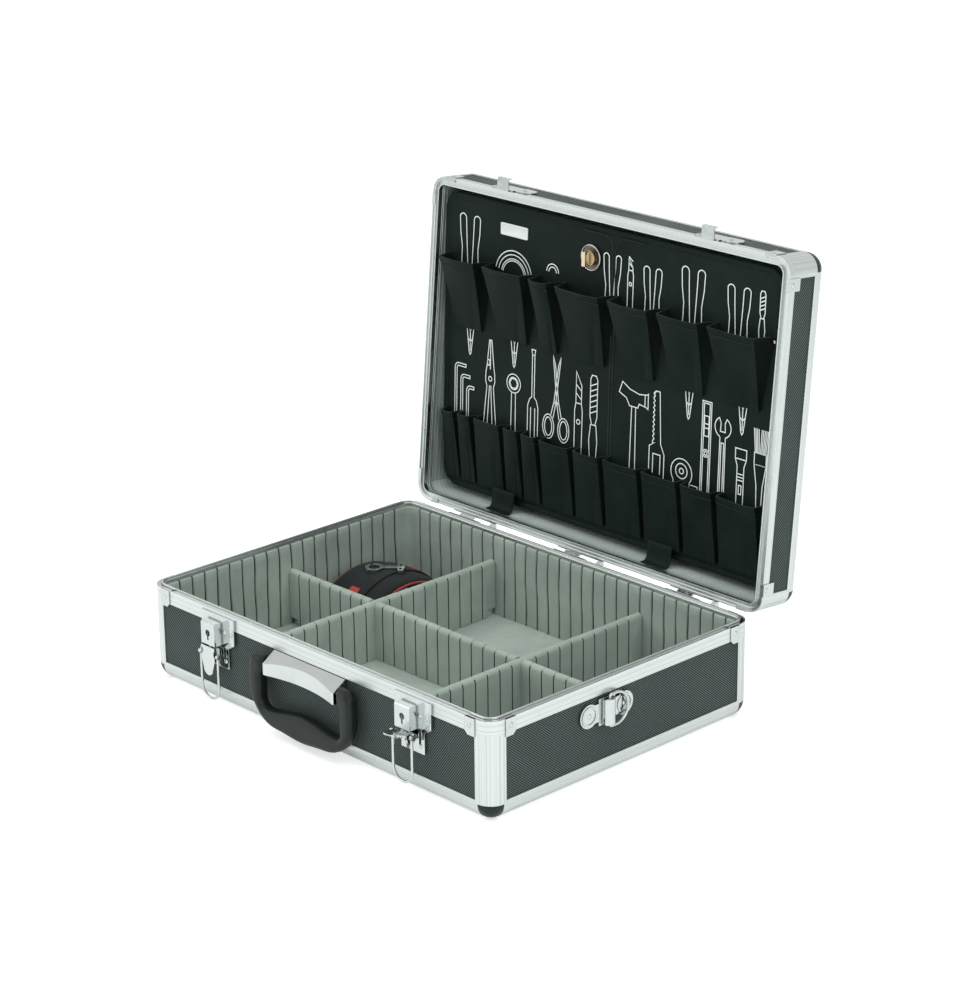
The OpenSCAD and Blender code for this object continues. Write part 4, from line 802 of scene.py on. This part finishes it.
def plier_jaws(h):
    return mirrored([[(0, h), (1.2, h), (3.6, h - 20), (4.6, h - 25), (4.8, h - 31),
                      (3.4, h - 35), (6.5, 0)], [(0.7, h - 34), (2.6, 0)]]) + \
        [ring(0, h - 29, 1.7), [(0, h), (0, h - 22)], box_line(-3.0, h - 19, -0.6, h - 15)]


def screwdriver(h, r):
    return [both([(-r, 0), (-r, 24), (-r * 0.65, 29), (-1.2, 31), (-1.2, h - 4), (-1.9, h)]),
            *mirrored([[(-r * 0.4, 0), (-r * 0.4, 23)]]), [(-1.2, h - 4), (1.2, h - 4)]]


def hammer(h):
    return mirrored([[(-2.6, 0), (-1.9, h - 16)]]) + \
        [[(-4, h - 16), (4, h - 16), (5, h - 13), (12, h - 14), (13.5, h - 15), (13.5, h - 4),
          (12, h - 5), (5, h - 6), (-4, h - 4), (-11, h), (-14, h - 8), (-7, h - 11),
          (-4, h - 16)], [(10.5, h - 14), (10.5, h - 5)]]


def spanner(h, r):
    return mirrored([[(-2.7, 0), (-2.4, h - 19)]]) + \
        [arc(0, h - 12, r, 250, 118, 12)
         + [(-1.8, h - 9), (-2.2, h - 15), (2.2, h - 15), (1.8, h - 9)]
         + arc(0, h - 12, r, 62, -70, 12), both([(-1.2, 4), (-1.2, h - 23)])]


def ring_spanner(h):
    return mirrored([[(-2.5, 0), (-2.2, h - 15)]]) + \
        [ring(0, h - 8, 7.6), ring(0, h - 8, 4.3, None, 6), ring(0, h - 8, 5.0, None, 12)]


def knife(h):
    return [[(-3.4, 0), (-3.6, 30), (-2.6, 35), (-2.6, h - 3), (2.6, h - 12), (2.6, 35),
             (3.6, 30), (3.4, 0)], [(-2.6, 35), (2.6, 35)], ring(0, 22, 1.6),
            [(-2.6, 42), (2.6, 38)], [(-2.6, 48), (2.6, 44)]]


def saw(h):
    teeth = [(x, z + k * 3.4) for k in range(11) for x, z in ((-4.2, 26), (-2.8, 27.7))]
    return [[(-7, 0), (-7, 22), (-2, 25), (-4.2, 24)] + teeth
            + [(-4.2, h - 4), (-2, h), (1.5, h), (3.5, 25)],
            [(7, 0), (7, 18), (3.5, 25)], both([(-3.4, 3), (-3.4, 17)])]


def brush(h):
    hair = [[(x * 0.8, h - 16), (x + copysign(0.6, x), h)]
            for x in (-5.4, -4.1, -2.8, -1.4, 0.0, 1.4, 2.8, 4.1, 5.4)]
    return [both([(-2, 0), (-2.6, 16), (-5, 30)]), box_line(-5, 30, 5, h - 16)] + hair


def file_tool(h):
    cuts = [[(-3.2, z), (3.2, z + 3)] for z in range(32, h - 6, 4)]
    return [both([(-3, 0), (-4, 12), (-2.6, 24)]),
            both([(-1.6, 24), (-3.4, 30), (-3.4, h - 3), (-2, h)])] + cuts


def shears(h):
    return mirrored([ring(7.6, 13, 5.6, 9.0), ring(7.6, 13, 3.6, 6.8),
                     [(3.0, 20), (0.6, 31), (-3.4, h - 4), (-3.8, h), (-1.6, h - 6), (2.2, 33),
                      (5.2, 22)]]) + [ring(0, 31.5, 1.4)]


def torch(h):
    return [both([(-3.4, 0), (-3.4, h - 14), (-5.6, h - 8), (-5.6, h)]),
            [(-5.6, h - 8), (5.6, h - 8)], box_line(-1.3, 8, 1.3, 15)] + \
        [[(-3.4, z), (3.4, z)] for z in (19, 21.5, 24)]


def hex_keys(h):
    out = []
    for k in range(3):
        x, top = -8 + k * 6.5, h - k * 8
        end = x + 12 - k * 2
        out.append([(x, 0), (x, top - 4)] + arc(x + 4, top - 4, 4, 180, 90, 6)
                   + [(end, top), (end, top - 2.2)]
                   + arc(x + 4, top - 4, 1.8, 90, 180, 6) + [(x + 2.2, 0)])
    return out


def tape(r):
    return [arc(0, r, r, -40, 220, 20) + [(-r * 0.76, 0), (r * 0.76, 0), (r * 0.766, r * 0.357)],
            ring(0, r + 1, r * 0.55), ring(0, r + 1, r * 0.2), box_line(r * 0.76, 0, r + 6, 3)]


def level_tool(h, w):
    return [both([(-w / 2, 0), (-w / 2, h)]), both([(-w / 2 + 1.4, 0), (-w / 2 + 1.4, h - 1.4)]),
            box_line(-2, h - 24, 2, h - 10), ring(0, 28, 2.6), [(-2, h - 15.5), (2, h - 15.5)],
            [(-2, h - 18.5), (2, h - 18.5)], ring(0, 28, 1.3)]


def ribbon(stroke, width, y):
    """A flat ink line along a stroke, mitred at its corners."""
    points = [Vector(p) for i, p in enumerate(stroke)
              if i == 0 or (Vector(p) - Vector(stroke[i - 1])).length > 1e-3]
    closed = len(points) > 3 and (points[0] - points[-1]).length < 1e-3
    if closed:
        points.pop()
    n = len(points)
    verts = []
    for i, p in enumerate(points):
        a = points[i - 1] if closed or i else None
        b = points[(i + 1) % n] if closed or i < n - 1 else None
        d1 = (p - a).normalized() if a is not None else (b - p).normalized()
        d2 = (b - p).normalized() if b is not None else d1
        square = Vector((-d1.y, d1.x))
        normal = Vector((-d1.y - d2.y, d1.x + d2.x))
        if normal.length < 1e-3:
            normal = square.copy()
        normal.normalize()
        reach = width / 2 / max(0.45, normal.dot(square))
        for s in (-1, 1):
            q = p + normal * (s * reach)
            verts.append((q.x, y, q.y))
    faces = []
    for i in range(n if closed else n - 1):
        k = (i + 1) % n
        faces.append((2 * i, 2 * i + 1, 2 * k + 1, 2 * k))
    return verts, faces


INK_Y, INK_W = -0.78, 1.05
LINE_BASE, TOP_BASE = LOWER_HIGH - 7, UPPER_HIGH - 8
drawings = []


def draw(strokes, x, z, size):
    drawings.extend([(x + size * u, z + size * v) for u, v in stroke] for stroke in strokes)


# rising out of the lower pockets
LOW_ROW = [
    (hex_keys(42), -192, 1.3), (plier_jaws(64), -152, 1.36), (ring_spanner(48), -119, 1.25),
    (screwdriver(66, 5.2), -92, 1.36), (shears(66), -60, 1.36), (knife(60), -30, 1.42),
    (file_tool(60), -10, 1.36), (hammer(62), 42, 1.36), (saw(62), 73, 1.36), (tape(11), 105, 1.2),
    (level_tool(64, 8), 134, 1.38), (spanner(62, 7.2), 154, 1.36), (torch(44), 177, 1.2),
    (brush(54), 200, 1.42)]
for strokes, x, size in LOW_ROW:
    draw(strokes, x, LINE_BASE, size)

# tips of tools below the upper row's outer pockets
upper_x = [xc for xc, _ in pocket_places(UPPER)]
for index in (0, 1, 5, 6):
    draw(closed_tip(32), upper_x[index], UPPER_LOW - 27, 1)

# ends of tools above the upper row
TOP_ROW = [
    (grip_loops(50), 0, -2, 1), ([arc(0, 0, r, 12, 168, 18) for r in (25, 21, 17, 15)], 1, -3, 1),
    ([arc(0, 14, r, 0, 180) for r in (8, 5)], 2, 0, 1), (grip_loops(46, 2.0, 7.0), 3, 26, 1),
    (knife(50), 4, -16, 1), (grip_loops(50, 2.0), 4, 12, 0.86), (grip_loops(52), 5, 0, 1),
    (grip_loops(46, 3.0, 8.5), 6, -10, 1), (file_tool(52), 6, 18, 0.9)]
for strokes, pocket, shift, size in TOP_ROW:
    draw(strokes, upper_x[pocket] + shift, TOP_BASE, size)

on_pallet("pallet_line_drawings", merge(ribbon(stroke, INK_W, INK_Y) for stroke in drawings), INK,
          closed=False)


# ---- bare label, vinyl tabs and the turn lock's rim ----

LABEL_PROFILE = ((0.2, 0.1), (0.0, -0.5), (0.0, -0.9), (0.35, -1.15), (1.0, -1.15), (1.25, -1.0))
TAB_PROFILE = ((-6.0, 12.6), (-6.4, 14.2), (-7.2, 14.8), (-8.0, 14.2), (-8.3, 12.0), (-8.6, 8.0),
               (-9.1, 4.0), (-9.9, 0.0), (-10.9, -2.6), (-12.6, -4.2), (-15.0, -4.4),
               (-18.0, -4.3))


def pallet_tab(x):
    """A vinyl strip, folded over at its top, from the pallet's face down onto the lining."""
    rings = []
    last = len(TAB_PROFILE) - 1
    for k, (y, z) in enumerate(TAB_PROFILE):
        a, b = TAB_PROFILE[max(0, k - 1)], TAB_PROFILE[min(last, k + 1)]
        way = Vector((b[0] - a[0], b[1] - a[1])).normalized()
        loop = []
        for face in (1, -1):
            for u in (-1.0, -0.96, -0.5, 0, 0.5, 0.96, 1.0):
                thick = (0.3 if abs(u) == 1 else 0.65) * face
                bow = 0.35 * cos(u * 2.2) * sin(pi * k / last)
                loop.append((x + face * u * TAB_HALF, y + way.y * thick - bow, z - way.x * thick))
        rings.append(loop)
    name = "pallet_tab_%s" % ("left" if x < 0 else "right")
    obj = piece(name, loft(rings), None, "vinyl", VINYL, PALLET, sharp=50)
    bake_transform(obj)
    return obj


on_pallet("blank_label", plate(LABEL_W, LABEL_H, LABEL_R, 4, LABEL_PROFILE, LABEL_X, LABEL_Z),
          LABEL, "plated", sharp=40)
tabs = [pallet_tab(x) for x in TAB_X]
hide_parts("pallet_tabs_lid", "pallet_tabs")
lock_rim = [(LOCK_X + LOCK_R * cos(a), -2.0, LOCK_Z + LOCK_R * sin(a)) for a in turns(48)]
on_pallet("turn_lock_rim", tube(lock_rim, 0.62, closed=True, up=OUT), CHROME, "brass")


# ---- handle: a swept grip that swells under the palm ----

def handle_edges():
    """Outer and inner edge of the grip's outline, from the left arm's top to the right one's."""
    top, foot, sill, outer, inner, r_out, r_in = 76.5, 10.0, 27.0, 69.0, 54.0, 37.0, 8.0
    shoulder_r, arm_widening, belly, palm = 12, 4.0, 3.0, 6.2
    half = []
    for k in range(13):
        t = (k / 12) ** 1.5
        z_out, z_in = lerp(top, foot + r_out, t), lerp(top, sill + r_in, t)
        shoulder = max(0.0, z_out - top + shoulder_r) / (shoulder_r + 0.01)
        half.append(((outer - shoulder_r * (1 - sqrt(1 - shoulder ** 2)), z_out),
                     (inner - arm_widening * smooth((z_in - 57) / 8), z_in)))
    for k in range(1, 10):
        a = radians(-90 * k / 9)
        half.append(((outer - r_out + r_out * cos(a), foot + r_out + r_out * sin(a)),
                     (inner - r_in + r_in * cos(a), sill + r_in + r_in * sin(a))))
    for k in range(1, 11):
        x_out, x_in = lerp(outer - r_out, 0, k / 10), lerp(inner - r_in, 0, k / 10)
        half.append(((x_out, foot - belly * smooth(1 - x_out / 34)),
                     (x_in, sill + palm * smooth(1 - x_in / 44))))
    left = [((-o[0], o[1]), (-i[0], i[1])) for o, i in half]
    return left + half[-2::-1]


def handle_rings():
    """Rounded sections across the outline, thinning round the pivots' eyes."""
    eye_squared = 42.2
    for outer, inner in handle_edges():
        middle = ((outer[0] + inner[0]) / 2, (outer[1] + inner[1]) / 2)
        over = Vector((outer[0] - inner[0], outer[1] - inner[1]))
        width = over.length
        over.normalize()
        above = max(0.0, middle[1] - HANDLE_PIVOT)
        deep = 2 * sqrt(max(0.8, eye_squared - above ** 2))
        waist = 1 - 0.05 * smooth(1 - abs(middle[0]) / 30)
        yield [(middle[0] + over.x * a, HANDLE_Y + b * waist, middle[1] + over.y * a)
               for a, b in round_rect(width, deep, min(5.2, deep * 0.45), 0.0, 5)]


piece("handle_grip", loft(list(handle_rings())), "carrying_handle", "grip", GRIP, HERE,
      ("handle",), sharp=60)


# ---- shoulder pad ----

def pad_point(angle, across, out):
    """A point of the arched pad: angle from its crown, across its width, out from its middle."""
    r = PAD_R - PAD_T / 2 + out
    a = radians(angle)
    return (PAD_X + across, PAD_Y + r * sin(a), PAD_TOP - PAD_R + r * cos(a))


def pad_half(angle):
    """Half the pad's width, which narrows in a curve at both ends."""
    end = max(0.0, 1 - abs(angle) / PAD_SPAN)
    return PAD_W / 2 * min(1.0, 0.35 + 1.35 * sqrt(end))


CHANNEL_AT, CHANNEL_W, CHANNEL_DEEP = 0.55, 0.07, 0.9


def shoulder_pad():
    """The padded sleeve: crowned, with two sewn channels on top."""
    rings, count = [], 44
    for i in range(count + 1):
        angle = lerp(-PAD_SPAN, PAD_SPAN, i / count)
        end = 1 - abs(angle) / PAD_SPAN
        thick = PAD_T / 2 * min(1.0, 0.5 + 3.0 * end)
        half = pad_half(angle)
        loop = []
        for a in turns(28):
            u = copysign(abs(cos(a)) ** 0.55, cos(a))
            v = copysign(abs(sin(a)) ** 0.75, sin(a))
            channel = CHANNEL_DEEP * exp(-((abs(u) - CHANNEL_AT) / CHANNEL_W) ** 2) if v > 0 else 0
            ripple = wobble(angle * 0.05, u * 2.2, 4, 0.8) * (1 if v > 0 else 0.3)
            loop.append(pad_point(angle, u * half, v * (thick - channel) + ripple * end))
        rings.append(loop)
    obj = on_pad("shoulder_pad_cover", loft(rings), STRAP, replaces=("shoulder_pad",), sharp=60)


def pad_band(low, high, steps, half, lift, section, waver=0.0):
    """A band over the pad's crown; its section is a row of (across, out)."""
    rings = []
    for i in range(steps + 1):
        angle = lerp(low, high, i / steps)
        out = PAD_T / 2 + lift + wobble(angle * 0.06, 0, 6, waver)
        rings.append([pad_point(angle, u * half, out + v) for u, v in section])
    return loft(rings)


WEBBING_SECTION = ((-1, -0.6), (-0.5, -0.75), (0, -0.8), (0.5, -0.75), (1, -0.6), (1, 0.5),
                   (0.5, 0.75), (0, 0.8), (-0.5, 0.75), (-1, 0.5))
PATCH_SECTION = ((-1, -0.4), (0, -0.4), (1, -0.4), (0.95, 0.4), (0, 0.6), (-0.95, 0.4))

shoulder_pad()
for name, side in (("left", -1), ("right", 1)):
    angles = [lerp(-69.0, 69.0, i / 40) for i in range(41)]
    path = [pad_point(angle, side * (pad_half(angle) + 0.3), 0.6) for angle in angles]
    on_pad("pad_piping_" + name, tube(path, 1.15, up=(1, 0, 0)), PIPING)
on_pad("pad_webbing", pad_band(-52.0, 52.0, 32, 15.0, 1.0, WEBBING_SECTION, 0.5), STRAP, sharp=50)
on_pad("pad_red_patches", merge(pad_band(at - 4.0, at + 4.0, 4, 6.0, 2.1, PATCH_SECTION)
                                for at in (-35.0, 35.0)), PIPING, sharp=50)


# ---- finishes of the CAD nodes that stay ----

FINISHES = (
    (ALU_RAIL, "base_rim base_edge_rails"),
    (ALU_POST, "base_posts"),
    (ALU_LID_RAIL, "lid_rim lid_edge_rails"),
    (ALU_LID_POST, "lid_posts"),
    (PANEL_XZ, "base_panel_front base_panel_back"),
    (PANEL_YZ, "base_panel_left base_panel_right"),
    (PANEL_XY, "base_panel_bottom"),
    (PANEL_LID_XZ, "lid_panel_front lid_panel_back"),
    (PANEL_LID_YZ, "lid_panel_left lid_panel_right"),
    (PANEL_LID_XY, "lid_panel_top"),
    (MOULD, "base_ball_corners lid_ball_corners"),
    (CHROME, "base_brackets base_rivets lid_brackets lid_rivets latch_plates handle_bracket "
             "handle_pins ring_plates hinge_base_leaves hinge_pins keepers hinge_lid_leaves "
             "pallet_catch latch_lever_left latch_lever_right bail_studs_left bail_studs_right "
             "latch_bail_left latch_bail_right strap_ring_left strap_ring_right strap_hook"),
    (SMOKED, "turn_lock_rose"),
    (BRASS, "turn_lock_knob"))
for mat, names in FINISHES:
    for name in names.split():
        slots = NODES[name].data.materials
        slots.clear()
        slots.append(mat)


# ---- stage, light and camera ----

FLOOR_HALF, FLOOR_Z = 14000.0, -0.4
CAMERA_AT, CAMERA_LENS = (1.83446, -1.69738, 1.09173), 105.1
CAMERA_ANGLES = (46.34, 19.80, -0.56)


def pale_paper():
    """White to the camera, less so in reflections, with the object's shadow kept."""
    t = material("pale_paper")
    rays = t.add("LightPath").outputs
    bounced = t.math("MAXIMUM", rays["Is Glossy Ray"], rays["Is Transmission Ray"])
    glow = t.math("MULTIPLY_ADD", bounced, 0.15, t.math("MULTIPLY", rays["Is Camera Ray"], 0.55))
    return t.finish(Base_Color=(0.86, 0.87, 0.87), Roughness=0.9, Specular_IOR_Level=0.1,
                    Emission_Color=(1, 1, 1), Emission_Strength=glow)


def stage_floor():
    mesh = bpy.data.meshes.new("studio_floor")
    mesh.from_pydata([(x * FLOOR_HALF * MM, y * FLOOR_HALF * MM, FLOOR_Z * MM)
                      for x, y in ((-1, -1), (1, -1), (1, 1), (-1, 1))], [], [(0, 1, 2, 3)])
    mesh.materials.append(pale_paper())
    floor = place_object("studio_floor", mesh)


def world_light():
    """Soft light all round; the camera and reflections see a plain pale surrounding."""
    world = bpy.data.worlds.new("studio")
    bpy.context.scene.world = world
    t = Tree(world)
    t.tree.nodes.clear()
    rays = t.add("LightPath").outputs
    seen = t.math("MAXIMUM", rays["Is Camera Ray"], rays["Is Glossy Ray"])
    seen = t.math("MAXIMUM", seen, rays["Is Transmission Ray"])
    soft = t.add("Background", Color=(0.95, 1.0, 0.98, 1), Strength=0.60)
    pale = t.add("Background", Strength=1.0)
    blend = t.add("MixShader", i0=seen, i1=soft.outputs[0], i2=pale.outputs[0])
    t.add("OutputWorld", i0=blend.outputs[0])


def soft_box(name, place, target, size, power, reflected=True):
    """A soft lamp; reflected says whether bright metal shows it."""
    light = bpy.data.lights.new(name, "AREA")
    light.shape = "RECTANGLE"
    light.size, light.size_y = size
    light.energy = power
    obj = place_object(name, light)
    obj.location = place
    obj.visible_glossy = reflected
    way = Vector(target) - Vector(place)
    obj.rotation_euler = way.to_track_quat("-Z", "Y").to_euler()


def photo_camera():
    """The camera fitted to the photograph's straight edges."""
    azimuth, elevation, roll = (radians(a) for a in CAMERA_ANGLES)
    ahead = Vector((-sin(azimuth) * cos(elevation), cos(azimuth) * cos(elevation),
                    -sin(elevation)))
    right = ahead.cross(Vector(UP)).normalized()
    up = right.cross(ahead)
    right, up = cos(roll) * right + sin(roll) * up, -sin(roll) * right + cos(roll) * up
    camera = bpy.data.cameras.new("photo_camera")
    camera.sensor_width = 36.0
    camera.lens = CAMERA_LENS
    camera.clip_end = 100.0
    obj = place_object("photo_camera", camera)
    turn = Matrix((right, up, -ahead)).transposed().to_4x4()
    obj.matrix_world = Matrix.Translation(CAMERA_AT) @ turn
    bpy.context.scene.camera = obj


stage_floor()
world_light()
soft_box("overhead", (0.3, -0.2, 2.6), (0, 0.05, 0.1), (4.2, 3.6), 62, False)
soft_box("front_left", (-1.6, -2.4, 1.5), (0, 0, 0.1), (2.6, 2.2), 16)
soft_box("right_side", (2.8, -0.4, 1.3), (0, 0, 0.12), (2.2, 2.2), 14)
photo_camera()
bpy.context.scene.view_settings.view_transform = "Standard"
